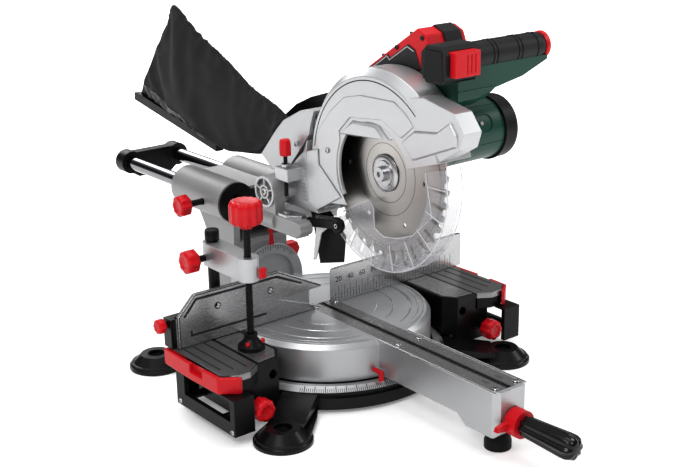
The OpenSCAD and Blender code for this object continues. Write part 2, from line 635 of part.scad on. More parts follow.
module clamp_pad() color("#17181a") difference() {
  union() {
    zcyl(16.5, table_z + 0.6, table_z + 5, post_x, spindle_y);
    translate([post_x, spindle_y, table_z + 5]) cylinder(r1 = 15, r2 = 8, h = 9);
    zcyl(8, table_z + 13.9, table_z + 20, post_x, spindle_y);
  }
  zcyl(4.6 + run_fit, 94 - run_fit, 120, post_x, spindle_y);
}

base_frame();
scale_ring();
fence_left();
fence_right();
fence_clamp_block();
fence_slide();
fence_knob();
extension_left();
extension_plate_left();
extension_trim_left();
extension_knob_left();
extension_right();
extension_plate_right();
extension_trim_right();
extension_knob_right();
turntable();
insert_plates();
insert_screws();
angle_pointer();
arm_foot();
mitre_grip();
detent_lever();
bevel_bracket();
rail_bushes();
bevel_lever();
rail_lock_knob();
slide_rails();
rail_end_cap();
head_bracket();
pivot_pin();
stop_plate();
guard_link();
head_arm();
upper_guard();
dust_chute();
dust_bag();
bag_clip_bar();
depth_stop_screw();
chip_flap();
gear_case();
motor_housing();
motor_cap();
armature();
spindle();
blade();
blade_flanges();
arbor_bolt();
lower_guard();
handle_housing();
handle_grip();
lockoff_lever();
trigger();
battery_pack();
carry_handle();
clamp_post();
clamp_arm();
clamp_post_knob();
clamp_spindle();
clamp_knob();
clamp_pad();
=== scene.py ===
import json
import math

import bmesh
import bpy
from mathutils import Matrix, Vector, noise
from mathutils.geometry import tessellate_polygon


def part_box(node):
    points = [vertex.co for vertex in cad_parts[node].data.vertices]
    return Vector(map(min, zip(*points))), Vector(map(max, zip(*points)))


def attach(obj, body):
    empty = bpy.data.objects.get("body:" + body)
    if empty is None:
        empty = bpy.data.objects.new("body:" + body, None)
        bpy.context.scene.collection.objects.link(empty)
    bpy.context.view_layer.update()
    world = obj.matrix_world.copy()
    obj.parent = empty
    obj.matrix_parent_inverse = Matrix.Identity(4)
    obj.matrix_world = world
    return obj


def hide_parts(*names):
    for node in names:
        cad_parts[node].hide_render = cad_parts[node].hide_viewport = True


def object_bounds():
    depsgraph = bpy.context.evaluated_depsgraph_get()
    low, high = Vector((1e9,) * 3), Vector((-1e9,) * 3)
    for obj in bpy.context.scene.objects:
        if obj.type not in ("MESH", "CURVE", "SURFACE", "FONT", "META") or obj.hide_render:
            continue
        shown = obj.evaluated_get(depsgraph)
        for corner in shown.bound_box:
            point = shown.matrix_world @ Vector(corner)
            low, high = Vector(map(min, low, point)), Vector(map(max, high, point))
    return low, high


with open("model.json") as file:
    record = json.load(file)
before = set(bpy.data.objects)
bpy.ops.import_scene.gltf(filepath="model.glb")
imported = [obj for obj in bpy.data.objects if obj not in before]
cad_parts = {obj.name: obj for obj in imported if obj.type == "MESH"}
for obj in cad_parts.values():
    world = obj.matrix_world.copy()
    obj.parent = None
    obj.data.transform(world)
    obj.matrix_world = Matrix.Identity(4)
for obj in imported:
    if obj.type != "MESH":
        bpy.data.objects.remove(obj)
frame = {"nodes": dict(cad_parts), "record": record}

CAD_BOX = [list(v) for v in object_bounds()]
MM = 0.001
SCENE = bpy.context.scene
SLOT_OF = {s["node"]: s["material_slot"] for s in frame["record"]["subparts"]}
BODY_OF = {n: b for b, ns in frame["record"]["behaviour"]["bodies"].items() for n in ns}
# axes of round parts in millimetres, as (y, z), and as (x, y) for the last three
BLADE_AXIS = (-118, 285)
MOTOR_AXIS = (-150, 325.99)
GRIP_AXIS = (-200, 428)
LINK_PIN = (-62, 212)
PIVOT = (63, 232)
STOP_SCREW = (-38, 34)
SPINDLE = (-156, -48)
CLAMP_POST = (-156, 28)


# -------------------- materials
def paint(name, colour, rough, metal=0.0, vary=0.08, grain=700.0, bump=0.15, depth=0.15,
          stretch=(1, 1, 1), coat=0.0, edge=0.8, wear=0.0, blotch=22.0, weave=0.0, aniso=0.0,
          alpha=None, spec=0.5, sheen=0.0):
    """One finish: blotchy colour, fine grain in roughness and bump, rounded and lightly worn edges."""
    m = bpy.data.materials.new(name)
    m.use_nodes = True
    nodes, links = m.node_tree.nodes, m.node_tree.links
    shader = nodes["Principled BSDF"]

    def calc(operation, *sources):
        """The output of a maths node whose inputs are sockets or numbers."""
        node = nodes.new("ShaderNodeMath")
        node.operation = operation
        for socket, source in zip(node.inputs, sources):
            if isinstance(source, float):
                socket.default_value = source
            else:
                links.new(source, socket)
        return node.outputs[0]

    where = nodes.new("ShaderNodeTexCoord").outputs["Object"]
    mapping = nodes.new("ShaderNodeMapping")
    mapping.inputs["Scale"].default_value = stretch
    links.new(where, mapping.inputs["Vector"])
    fine = nodes.new("ShaderNodeTexNoise")
    fine.inputs["Scale"].default_value = grain
    fine.inputs["Detail"].default_value = 3.0
    links.new(mapping.outputs["Vector"], fine.inputs["Vector"])
    big = nodes.new("ShaderNodeTexNoise")
    big.inputs["Scale"].default_value = blotch
    big.inputs["Detail"].default_value = 4.0
    links.new(where, big.inputs["Vector"])
    both = calc("MULTIPLY_ADD", fine.outputs["Fac"], 0.5, calc("MULTIPLY", big.outputs["Fac"], 0.5))
    ramp = nodes.new("ShaderNodeValToRGB")
    ramp.color_ramp.elements[0].position = 0.3
    ramp.color_ramp.elements[1].position = 0.7
    ramp.color_ramp.elements[0].color = [c * (1 - vary) for c in colour] + [1]
    ramp.color_ramp.elements[1].color = [min(1, c * (1 + vary)) for c in colour] + [1]
    links.new(both, ramp.inputs["Fac"])
    tint = ramp.outputs["Color"]
    height = fine.outputs["Fac"]
    if weave:
        waves = []
        for turn in (0.0, math.pi / 2):
            spin = nodes.new("ShaderNodeMapping")
            spin.inputs["Rotation"].default_value = (math.radians(38) + turn, 0.0, 0.0)
            links.new(where, spin.inputs["Vector"])
            wave = nodes.new("ShaderNodeTexWave")
            wave.bands_direction = "Y"
            wave.inputs["Scale"].default_value = weave
            wave.inputs["Distortion"].default_value = 0.6
            wave.inputs["Detail"].default_value = 1.0
            links.new(spin.outputs["Vector"], wave.inputs["Vector"])
            waves.append(wave.outputs["Fac"])
        height = calc("MULTIPLY_ADD", calc("MULTIPLY", *waves), 0.7, height)
    bevel = nodes.new("ShaderNodeBevel")
    bevel.samples = 4
    bevel.inputs["Radius"].default_value = edge * MM
    if wear:
        geometry = nodes.new("ShaderNodeNewGeometry")
        dot = nodes.new("ShaderNodeVectorMath")
        dot.operation = "DOT_PRODUCT"
        links.new(bevel.outputs["Normal"], dot.inputs[0])
        links.new(geometry.outputs["Normal"], dot.inputs[1])
        rub = nodes.new("ShaderNodeMapRange")
        rub.inputs["From Min"].default_value = 0.97
        rub.inputs["From Max"].default_value = 0.80
        rub.inputs["To Max"].default_value = 1.0
        links.new(dot.outputs["Value"], rub.inputs["Value"])
        mix = nodes.new("ShaderNodeMix")
        mix.data_type = "RGBA"
        links.new(calc("MULTIPLY", rub.outputs["Result"], big.outputs["Fac"]), mix.inputs["Factor"])
        links.new(tint, mix.inputs["A"])
        mix.inputs["B"].default_value = [min(1, c + wear) for c in colour] + [1]
        tint = mix.outputs["Result"]
    links.new(tint, shader.inputs["Base Color"])
    gloss = nodes.new("ShaderNodeMapRange")
    gloss.inputs["To Min"].default_value = rough * 0.8
    gloss.inputs["To Max"].default_value = min(1.0, rough * 1.2)
    links.new(both, gloss.inputs["Value"])
    links.new(gloss.outputs["Result"], shader.inputs["Roughness"])
    relief = nodes.new("ShaderNodeBump")
    relief.inputs["Strength"].default_value = bump
    relief.inputs["Distance"].default_value = depth * MM
    links.new(height, relief.inputs["Height"])
    links.new(bevel.outputs["Normal"], relief.inputs["Normal"])
    links.new(relief.outputs["Normal"], shader.inputs["Normal"])
    shader.inputs["Metallic"].default_value = metal
    shader.inputs["Coat Weight"].default_value = coat
    shader.inputs["Coat Roughness"].default_value = 0.12
    shader.inputs["IOR"].default_value = 1.45
    shader.inputs["Specular IOR Level"].default_value = spec
    shader.inputs["Sheen Weight"].default_value = sheen
    if aniso:
        shader.inputs["Anisotropic"].default_value = aniso
        tangent = nodes.new("ShaderNodeTangent")
        tangent.direction_type = "RADIAL"
        tangent.axis = "X"
        links.new(tangent.outputs["Tangent"], shader.inputs["Tangent"])
    if alpha:
        facing = nodes.new("ShaderNodeLayerWeight")
        facing.inputs["Blend"].default_value = 0.25
        clear = nodes.new("ShaderNodeMapRange")
        clear.inputs["To Min"].default_value = alpha[0]
        clear.inputs["To Max"].default_value = alpha[1]
        links.new(facing.outputs["Facing"], clear.inputs["Value"])
        links.new(clear.outputs["Result"], shader.inputs["Alpha"])
    m.diffuse_color = (*colour, 1)
    return m


MAT = {
    "cast_black": paint("cast_black", (0.0030, 0.0030, 0.0033), 0.30, vary=0.3, grain=900, bump=0.2,
                        coat=0.06, wear=0.02, spec=0.20),
    "alloy": paint("alloy", (0.43, 0.435, 0.445), 0.38, metal=0.80, vary=0.06, grain=1100, bump=0.14,
                   wear=0.22, edge=1.2),
    "alloy_dark": paint("alloy_dark", (0.25, 0.25, 0.255), 0.29, metal=0.85, vary=0.10, grain=420,
                        stretch=(2, 0.2, 1), bump=0.03, wear=0.15),
    "chrome": paint("chrome", (0.42, 0.42, 0.43), 0.10, metal=1.0, vary=0.03, bump=0.02, edge=0.5),
    "steel": paint("steel", (0.40, 0.385, 0.37), 0.30, metal=1.0, vary=0.05, grain=260, bump=0.015,
                   aniso=0.7, edge=0.3),
    "red": paint("red", (0.50, 0.005, 0.011), 0.34, vary=0.08, bump=0.12, coat=0.05, wear=0.06, edge=1.1,
                 spec=0.22),
    "green": paint("green", (0.003, 0.046, 0.031), 0.33, vary=0.12, grain=1300, bump=0.3, wear=0.05,
                   edge=1.2, spec=0.3),
    "black": paint("black", (0.0030, 0.0030, 0.0034), 0.38, vary=0.3, grain=1200, bump=0.25, wear=0.02,
                   edge=1.0, spec=0.20),
    "rubber": paint("rubber", (0.006, 0.006, 0.0065), 0.60, vary=0.3, grain=800, bump=0.45, wear=0.02,
                    edge=1.0, spec=0.18),
    "bag": paint("bag", (0.015, 0.015, 0.016), 0.80, vary=0.35, grain=600, bump=0.8, depth=0.35,
                 weave=420.0, blotch=9.0, spec=0.2, sheen=0.05),
    "zinc": paint("zinc", (0.42, 0.42, 0.43), 0.28, metal=0.9, vary=0.12, grain=300, bump=0.12, wear=0.1),
    "copper": paint("copper", (0.62, 0.26, 0.12), 0.35, metal=1.0, vary=0.1),
    "clear": paint("clear", (0.50, 0.50, 0.53), 0.08, vary=0.03, bump=0.05, alpha=(0.07, 0.70), edge=0.6),
    # the clear finish made lighter and less clear for the lower guard's rims and ribs: painted highlight
    "clear_painted_highlight": paint("clear_painted_highlight", (0.72, 0.72, 0.75), 0.12, vary=0.03, bump=0.02, alpha=(0.45, 0.90)),
    "rail_chrome": paint("rail_chrome", (0.20, 0.20, 0.21), 0.08, metal=1.0, vary=0.03, bump=0.01),
    # finishes of the Blender detail pieces
    "tabletop": paint("tabletop", (0.36, 0.36, 0.365), 0.26, metal=0.9, vary=0.08, grain=380,
                      stretch=(2, 0.2, 1), bump=0.02, edge=0.3),
    "polished": paint("polished", (0.62, 0.62, 0.63), 0.20, metal=0.95, vary=0.03, grain=200, bump=0.01,
                      edge=0.3),
    "gloss": paint("gloss", (0.0035, 0.0035, 0.004), 0.16, vary=0.2, bump=0.06, spec=0.25, coat=0.15,
                   edge=0.6),
    "cast_grey": paint("cast_grey", (0.30, 0.30, 0.305), 0.46, metal=0.45, vary=0.06, grain=1000, bump=0.22,
                       wear=0.15),
    "satin": paint("satin", (0.47, 0.475, 0.485), 0.36, metal=0.80, vary=0.05, grain=1300, bump=0.12,
                   wear=0.15, edge=1.5),
    "brushed": paint("brushed", (0.46, 0.46, 0.465), 0.27, metal=0.9, vary=0.02, grain=300,
                     stretch=(0.25, 2, 2.5), bump=0.004, edge=0.8),
    "ink": paint("ink", (0.010, 0.010, 0.011), 0.55, vary=0.2, bump=0.1),
    "light_ink": paint("light_ink", (0.62, 0.62, 0.62), 0.5, vary=0.08, bump=0.1),
    "lamp": paint("lamp", (0.85, 0.42, 0.04), 0.25, vary=0.25, grain=300, bump=0.1, coat=0.4),
    "charcoal": paint("charcoal", (0.010, 0.010, 0.011), 0.46, vary=0.2, grain=900, bump=0.3, wear=0.03,
                      spec=0.22),
    "floor": paint("floor", (0.86, 0.86, 0.86), 0.55, vary=0.012, blotch=2.0, bump=0.02, edge=0.1),
}


# -------------------- mesh tools, all sizes in millimetres
def finish_piece(name, bm, body, material, smooth=40, bevel=0.0, replaces=()):
    """Turns a bmesh in millimetres into a piece that rides on a body."""
    bmesh.ops.scale(bm, vec=(MM, MM, MM), verts=bm.verts)
    bmesh.ops.recalc_face_normals(bm, faces=bm.faces)
    mesh = bpy.data.meshes.new(name)
    bm.to_mesh(mesh)
    bm.free()
    return place(name, mesh, body, material, smooth, bevel, replaces)


def place(name, mesh, body, material, smooth=40, bevel=0.0, replaces=()):
    """Makes a mesh in metres a piece that rides on a body, with its finish, slot and edges."""
    obj = bpy.data.objects.new(name, mesh)
    SCENE.collection.objects.link(obj)
    mesh.materials.clear()
    mesh.materials.append(MAT[material])
    for poly in mesh.polygons:
        poly.use_smooth = True
    if bevel:
        mod = obj.modifiers.new("edges", "BEVEL")
        mod.width = bevel * MM
        mod.segments = 2
        mod.limit_method = "ANGLE"
        mod.angle_limit = math.radians(32)
        mod.use_clamp_overlap = True
        mod.harden_normals = False
        obj.modifiers.new("weights", "WEIGHTED_NORMAL").keep_sharp = True
    mesh.set_sharp_from_angle(angle=math.radians(smooth))
    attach(obj, body)
    if replaces:
        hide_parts(*replaces)
    return obj


def to_axis(p, axis):
    """(u, v, t) with t along the axis, as x, y, z."""
    u, v, t = p
    return {"x": (t, u, v), "y": (u, t, v), "z": (u, v, t)}[axis]


def plate(bm, outline, axis, a, b, holes=()):
    """A flat plate: an outline with holes, from a to b along the axis."""
    loops = [list(outline)] + [list(h) for h in holes]
    flat = [p for loop in loops for p in loop]
    low = [bm.verts.new(to_axis((u, v, a), axis)) for u, v in flat]
    high = [bm.verts.new(to_axis((u, v, b), axis)) for u, v in flat]
    for tri in tessellate_polygon([[Vector((u, v, 0)) for u, v in loop] for loop in loops]):
        bm.faces.new([low[i] for i in tri])
        bm.faces.new([high[i] for i in reversed(tri)])
    start = 0
    for loop in loops:
        n = len(loop)
        for i in range(n):
            j = (i + 1) % n
            bm.faces.new((low[start + i], low[start + j], high[start + j], high[start + i]))
        start += n


def brick(bm, lo, hi):
    """A box between two corners."""
    plate(bm, [(lo[0], lo[1]), (hi[0], lo[1]), (hi[0], hi[1]), (lo[0], hi[1])], "z", lo[2], hi[2])


def circle(u, v, r, n=32, start=0.0, end=360.0):
    """Points on a circle, or on an arc from angle start to angle end."""
    full = abs(end - start) >= 360
    steps = n if full else n + 1
    return [(u + r * math.cos(math.radians(start + (end - start) * i / n)),
             v + r * math.sin(math.radians(start + (end - start) * i / n))) for i in range(steps)]


def ring_sector(u, v, r0, r1, start, end, n):
    """The outline of a part of a flat ring, from angle start to angle end."""
    return circle(u, v, r1, n, start, end) + circle(u, v, r0, n, start, end)[::-1]


def cos_sin(degrees):
    a = math.radians(degrees)
    return math.cos(a), math.sin(a)


def radial_bar(u, v, degrees, near, far, half):
    """The outline of a bar that points away from (u, v), with half of its width on either side."""
    c, s = cos_sin(degrees)
    return [(u + r * c + side * s * half, v + r * s - side * c * half)
            for r, side in ((near, 1), (far, 1), (far, -1), (near, -1))]


def slab(bm, low, high):
    """A solid between two outlines with the same number of points."""
    one = [bm.verts.new(p) for p in low]
    two = [bm.verts.new(p) for p in high]
    bm.faces.new(one[::-1])
    bm.faces.new(two)
    for i in range(len(one)):
        j = (i + 1) % len(one)
        bm.faces.new((one[i], one[j], two[j], two[i]))


def lathe(bm, profile, centre, axis, n=48, lobes=0, depth=0.0):
    """Turns (radius, distance) pairs about an axis through centre; lobes make a fluted outside."""
    rings = []
    for r, t in profile:
        ring = []
        for i in range(n):
            a = 2 * math.pi * i / n
            rr = r - (depth * (0.5 - 0.5 * math.cos(lobes * a)) * (1 if r > 4 else 0) if lobes else 0)
            u, v = centre[0] + rr * math.cos(a), centre[1] + rr * math.sin(a)
            ring.append(bm.verts.new(to_axis((u, v, t), axis)))
        rings.append(ring)
    for one, two in zip(rings, rings[1:]):
        for i in range(n):
            j = (i + 1) % n
            bm.faces.new((one[i], one[j], two[j], two[i]))
    bm.faces.new(rings[0][::-1])
    bm.faces.new(rings[-1])


def pipe(bm, path, radius, n=12, closed=False):
    """A round rod along a path of points."""
    pts = [Vector(p) for p in path]
    rings = []
    for i, p in enumerate(pts):
        before = pts[i - 1] if (i or closed) else p
        after = pts[(i + 1) % len(pts)] if (i < len(pts) - 1 or closed) else p
        along = (after - before).normalized()
        guide = Vector((0.13, 0.27, 1)) if abs(along.z) < 0.95 else Vector((1, 0.1, 0.2))
        side = along.cross(guide).normalized()
        up = side.cross(along)
        turns = [k * math.tau / n for k in range(n)]
        rings.append([bm.verts.new(p + radius * (side * math.cos(a) + up * math.sin(a))) for a in turns])
    pairs = list(zip(rings, rings[1:])) + ([(rings[-1], rings[0])] if closed else [])
    for one, two in pairs:
        for k in range(n):
            bm.faces.new((one[k], one[(k + 1) % n], two[(k + 1) % n], two[k]))
    if not closed:
        bm.faces.new(rings[0][::-1])
        bm.faces.new(rings[-1])


def rods(bm, path, radius, n=8):
    """A separate straight rod along each side of an open path."""
    for a, b in zip(path, path[1:]):
        pipe(bm, [a, b], radius, n)


def screw_head(bm, u, v, t, axis, r=3.0, up=1):
    """A small domed screw head with a round socket, standing on the plane t."""
    lathe(bm, [(r, t), (r, t + up * 0.25 * r), (r * 0.8, t + up * 0.5 * r), (r * 0.45, t + up * 0.56 * r),
               (r * 0.4, t + up * 0.15 * r)], (u, v), axis, n=24)


def thread(bm, centre, axis, r, a, b, pitch=3.0, depth=0.7, n=20):
    """A coarse screw thread: a helix ridge round a rod, from a to b along the axis."""
    turns = (b - a) / pitch
    steps = int(turns * n)
    rings = []
    for i in range(steps + 1):
        ang = math.tau * i / n
        t = a + (b - a) * i / steps
        ring = []
        for dt, dr in ((-0.45 * pitch, -0.15), (0.0, depth), (0.45 * pitch, -0.15)):
            rr = r + dr
            u, v = centre[0] + rr * math.cos(ang), centre[1] + rr * math.sin(ang)
            ring.append(bm.verts.new(to_axis((u, v, min(b, max(a, t + dt))), axis)))
        rings.append(ring)
    for one, two in zip(rings, rings[1:]):
        for k in range(3):
            bm.faces.new((one[k], one[(k + 1) % 3], two[(k + 1) % 3], two[k]))
    bm.faces.new(rings[0][::-1])
    bm.faces.new(rings[-1])


def plate_piece(name, body, material, outline, axis, a, b, bevel=0.0):
    """A piece that is one flat plate."""
    bm = bmesh.new()
    plate(bm, outline, axis, a, b)
    finish_piece(name, bm, body, material, bevel=bevel)


def soften(node, width, material=None):
    """The node's own shape with its edges rounded, in place of the CAD node."""
    src = frame["nodes"][node]
    bm = bmesh.new()
    bm.from_mesh(src.data)
    bmesh.ops.remove_doubles(bm, verts=bm.verts, dist=2e-6)
    bmesh.ops.dissolve_limit(bm, angle_limit=math.radians(0.6), verts=bm.verts, edges=bm.edges, delimit=set())
    mesh = bpy.data.meshes.new(node + "_round")
    bm.to_mesh(mesh)
    bm.free()
    return place(node + "_round", mesh, BODY_OF[node], material or SLOT_OF[node], 40, width,
                 (node,))


# -------------------- CAD nodes: finishes and rounded edges
OWN_FINISH = {"upper_guard": "satin", "head_arm": "satin", "motor_cap": "black", "handle_grip": "charcoal",
              "head_bracket": "cast_grey", "blade_flanges": "zinc", "arbor_bolt": "zinc",
              "bevel_bracket": "cast_grey",
              "clamp_post": "black", "fence_slide": "brushed", "fence_right": "brushed",
              "slide_rails": "rail_chrome",
              "insert_plates": "tabletop"}
for node, obj in frame["nodes"].items():
    obj.data.materials.clear()
    obj.data.materials.append(MAT[OWN_FINISH.get(node, SLOT_OF[node])])
ROUND = {
    "upper_guard": 1.6, "head_arm": 1.6, "gear_case": 1.5, "motor_housing": 1.5, "motor_cap": 2.0,
    "handle_housing": 1.6, "battery_pack": 1.6, "clamp_arm": 2.0,
    "bevel_lever": 1.5, "bevel_bracket": 1.0, "arm_foot": 0.8, "extension_trim_left": 1.2,
    "extension_trim_right": 1.2,
    "extension_plate_left": 1.0, "extension_plate_right": 1.0, "extension_left": 0.8, "extension_right": 0.8,
    "lockoff_lever": 2.2, "handle_grip": 2.5, "trigger": 1.0, "stop_plate": 0.8, "guard_link": 0.8,
    "carry_handle": 1.5, "turntable": 1.0,
    "head_bracket": 1.0, "rail_end_cap": 1.5, "detent_lever": 0.8, "base_frame": 1.2,
    "fence_left": 0.5, "fence_slide": 0.4, "fence_clamp_block": 1.0, "scale_ring": 0.5, "dust_chute": 1.0,
}
for node, width in ROUND.items():
    soften(node, width, OWN_FINISH.get(node))

# -------------------- camera, lights, floor
TARGET = Vector((0.0134, -0.050, 0.16292))
CAMERA_ROLL = -0.66      # degrees
camera = bpy.data.cameras.new("camera")
camera_obj = bpy.data.objects.new("camera", camera)
SCENE.collection.objects.link(camera_obj)
camera_obj.location = (-0.94093, -1.22258, 0.68548)
camera.lens, camera.sensor_width = 65.10, 36.0
camera.shift_x, camera.shift_y = -0.01474, 0.02836
camera.clip_end = 50
look = (TARGET - camera_obj.location).to_track_quat("-Z", "Y").to_matrix().to_4x4()
roll = Matrix.Rotation(math.radians(CAMERA_ROLL), 4, "Z")
camera_obj.matrix_world = Matrix.Translation(camera_obj.location) @ look @ roll
SCENE.camera = camera_obj
SCENE.view_settings.view_transform = "Standard"
SCENE.view_settings.gamma = 0.90

FLOOR_Z = CAD_BOX[0][2]
floor_mesh = bpy.data.meshes.new("floor")
floor_bm = bmesh.new()
bmesh.ops.create_grid(floor_bm, x_segments=4, y_segments=4, size=9.0)
bmesh.ops.translate(floor_bm, verts=floor_bm.verts, vec=(0, 0, FLOOR_Z - 0.0004))
floor_bm.to_mesh(floor_mesh)
floor_bm.free()
floor = bpy.data.objects.new("floor", floor_mesh)
floor_mesh.materials.append(MAT["floor"])
SCENE.collection.objects.link(floor)
fn, fl = MAT["floor"].node_tree.nodes, MAT["floor"].node_tree.links
# The floor glows, weakly near the middle and almost fully white further out: painted light on the floor.
far = fn.new("ShaderNodeVectorMath")
far.operation = "LENGTH"
fl.new(fn["Texture Coordinate"].outputs["Object"], far.inputs[0])
floor_glow = fn.new("ShaderNodeMapRange")
floor_glow.interpolation_type = "SMOOTHSTEP"
floor_glow.inputs["From Min"].default_value = 0.35
floor_glow.inputs["From Max"].default_value = 1.5
floor_glow.inputs["To Min"].default_value = 0.22
floor_glow.inputs["To Max"].default_value = 0.95
fl.new(far.outputs["Value"], floor_glow.inputs["Value"])
fn["Principled BSDF"].inputs["Emission Color"].default_value = (1, 1, 1, 1)
fl.new(floor_glow.outputs["Result"], fn["Principled BSDF"].inputs["Emission Strength"])


def light(name, where, aim, size, power):
    data = bpy.data.lights.new(name, "AREA")
    data.shape, data.size, data.size_y = "RECTANGLE", size[0], size[1]
    data.energy = power
    obj = bpy.data.objects.new(name, data)
    SCENE.collection.objects.link(obj)
    obj.location = where
    obj.rotation_euler = (Vector(aim) - Vector(where)).to_track_quat("-Z", "Y").to_euler()


light("key", (-1.7, -1.0, 1.9), (0, 0, 0.2), (1.2, 0.9), 34)
light("top", (0.2, 0.1, 2.3), (0, 0, 0.2), (1.6, 1.6), 26)
light("side", (2.0, -1.1, 1.2), (0, 0, 0.2), (0.6, 1.6), 16)
light("rim", (0.6, 2.2, 1.4), (0, 0, 0.3), (1.6, 0.8), 22)

world = bpy.data.worlds.new("studio")
world.use_nodes = True
SCENE.world = world
wn, wl = world.node_tree.nodes, world.node_tree.links
back = wn["Background"]
path = wn.new("ShaderNodeLightPath")
sky = wn.new("ShaderNodeTexCoord")
split = wn.new("ShaderNodeSeparateXYZ")
wl.new(sky.outputs["Generated"], split.inputs[0])
sky_ramp = wn.new("ShaderNodeValToRGB")
SKY = ((0.0, 0.30), (0.10, 0.10), (0.30, 0.04), (0.42, 0.10), (0.60, 0.85), (1.0, 0.62))
sky_ramp.color_ramp.elements[0].position, sky_ramp.color_ramp.elements[1].position = SKY[0][0], SKY[-1][0]
sky_ramp.color_ramp.elements[0].color = (SKY[0][1],) * 3 + (1,)
sky_ramp.color_ramp.elements[1].color = (SKY[-1][1],) * 3 + (1,)
for at, value in SKY[1:-1]:
    sky_ramp.color_ramp.elements.new(at).color = (value,) * 3 + (1,)
wl.new(split.outputs["Z"], sky_ramp.inputs["Fac"])
pick = wn.new("ShaderNodeMix")
pick.data_type = "RGBA"
wl.new(path.outputs["Is Camera Ray"], pick.inputs["Factor"])
wl.new(sky_ramp.outputs["Color"], pick.inputs["A"])
pick.inputs["B"].default_value = (1, 1, 1, 1)
wl.new(pick.outputs["Result"], back.inputs["Color"])
back.inputs["Strength"].default_value = 1.0

# -------------------- dust bag: lofted cloth shell
# top (y, z), bottom (y, z) and half thickness along the bag, from the mouth to the closed end
BAG_CUTS = [((74, 309), (112, 272), 20), ((88, 322), (142, 264), 24), ((120, 334), (192, 258), 28),
            ((158, 345), (230, 252), 30), ((213, 372), (286, 260), 31), ((285, 403), (352, 272), 24),
            ((343, 434), (424, 285), 12), ((362, 410), (456, 291), 6)]
BAG_ROWS, BAG_RING = 62, 72
CLOTH_FRAMES = 20
CLOTH_REACH = 8.0        # the furthest that the simulation moves a point


def smooth_between(values, t):
    """Catmull-Rom through a list of tuples, t from 0 to 1."""
    last = len(values) - 1
    x = t * last
    i = min(int(x), last - 1)
    f = x - i
    a, b, c, d = (values[max(0, min(last, i + k))] for k in (-1, 0, 1, 2))
    return [0.5 * ((2 * q) + (r - p) * f + (2 * p - 5 * q + 4 * r - s) * f * f
                   + (3 * q - p - 3 * r + s) * f ** 3) for p, q, r, s in zip(a, b, c, d)]


def bag_point(row, k):
    """A point of the bag before it is simulated; k runs round the section from the bottom seam."""
    t = row / (BAG_ROWS - 1)
    ty, tz, by, bz, half = smooth_between([(*a, *b, h) for a, b, h in BAG_CUTS], t)
    angle = math.tau * k / BAG_RING
    v = 0.5 - 0.5 * math.cos(angle)
    side = 1 if angle <= math.pi else -1
    bulge = max(0.0, 1 - abs(2 * v - 1) ** 2.2) ** 0.62
    slim = 1 - 0.45 * max(0.0, (1 - v) - 0.35) * min(1.0, max(0.0, (t - 0.3) * 3))
    y, z = by + (ty - by) * v, bz + (tz - bz) * v
    # gathers at the mouth, long soft folds that fan out from it, and creases near the far corner
    gather = 1.9 * math.sin(angle * 9 + 2.5 * math.sin(angle * 2)) * math.exp(-((t - 0.07) / 0.07) ** 2)
    fan = 2.6 * noise.noise(Vector((side * 3.1, t * 2.2, v * 6.5 + t * 3.0)))
    crease = 3.0 * noise.noise(Vector((side * 5.7 + 2, (y + z) * 0.028, (y - z) * 0.011))) * min(1, t * 2)
    fine = 1.0 * noise.noise(Vector((side * 2.3, y * 0.06, z * 0.05)))
    push = (gather + fan + crease + fine) * min(1.0, bulge * 1.6)
    return Vector((side * (0.86 * half * bulge * slim + push), y, z)) * MM


def make_bag():
    bm = bmesh.new()
    rows = [[bm.verts.new(bag_point(i, k)) for k in range(BAG_RING)] for i in range(BAG_ROWS)]
    for a, b in zip(rows, rows[1:]):
        for k in range(BAG_RING):
            bm.faces.new((a[k], a[(k + 1) % BAG_RING], b[(k + 1) % BAG_RING], b[k]))
    bm.faces.new(rows[0][::-1])
    bm.faces.new(rows[-1])
    bmesh.ops.recalc_face_normals(bm, faces=bm.faces)
    mesh = bpy.data.meshes.new("bag_cloth")
    bm.to_mesh(mesh)
    bm.free()
    return mesh


def simulate(mesh, held, cap):
    """Blows the cloth up a little, lets it slacken and fold, and moves no point further than cap."""
    obj = bpy.data.objects.new("cloth_work", mesh)
    SCENE.collection.objects.link(obj)
    group = obj.vertex_groups.new(name="held")
    for index, weight in held.items():
        group.add([index], weight, "REPLACE")
    mod = obj.modifiers.new("cloth", "CLOTH")
    cloth = mod.settings
    cloth.quality, cloth.mass = 6, 0.25
    cloth.tension_stiffness, cloth.compression_stiffness, cloth.shear_stiffness = 14, 5, 4
    cloth.bending_stiffness = 0.25
    cloth.use_pressure, cloth.uniform_pressure_force = True, 1.6
    cloth.effector_weights.gravity = 0.35
    cloth.vertex_group_mass = "held"
    cloth.shrink_min = -0.045
    mod.collision_settings.use_collision = False
    mod.point_cache.frame_start, mod.point_cache.frame_end = 1, CLOTH_FRAMES
    start = [v.co.copy() for v in mesh.vertices]
    for frame_number in range(1, CLOTH_FRAMES + 1):
        SCENE.frame_set(frame_number)
    shape = obj.evaluated_get(bpy.context.evaluated_depsgraph_get()).to_mesh()
    moved = [v.co.copy() for v in shape.vertices]
    obj.modifiers.clear()
    SCENE.frame_set(1)
    for vertex, a, b in zip(mesh.vertices, start, moved):
        step = b - a
        far = step.length
        vertex.co = a + step * (min(1.0, cap * MM * math.tanh(far / (cap * MM)) / far) if far > 1e-9 else 0)
    bpy.data.objects.remove(obj)


bag_mesh = make_bag()
holds = {}
for i in range(BAG_ROWS):
    for k in range(BAG_RING):
        v_here = 0.5 - 0.5 * math.cos(math.tau * k / BAG_RING)
        t_here = i / (BAG_ROWS - 1)
        if i < 3 or i > BAG_ROWS - 3 or (v_here < 0.03 and t_here > 0.5):
            holds[i * BAG_RING + k] = 1.0
        elif v_here > 0.97:
            holds[i * BAG_RING + k] = 0.5
simulate(bag_mesh, holds, CLOTH_REACH)
bag = place("dust_bag_cloth", bag_mesh, "head", "bag", 180, 0, ("dust_bag",))
bag.modifiers.new("fine", "SUBSURF").levels = 1
bag.modifiers["fine"].render_levels = 1


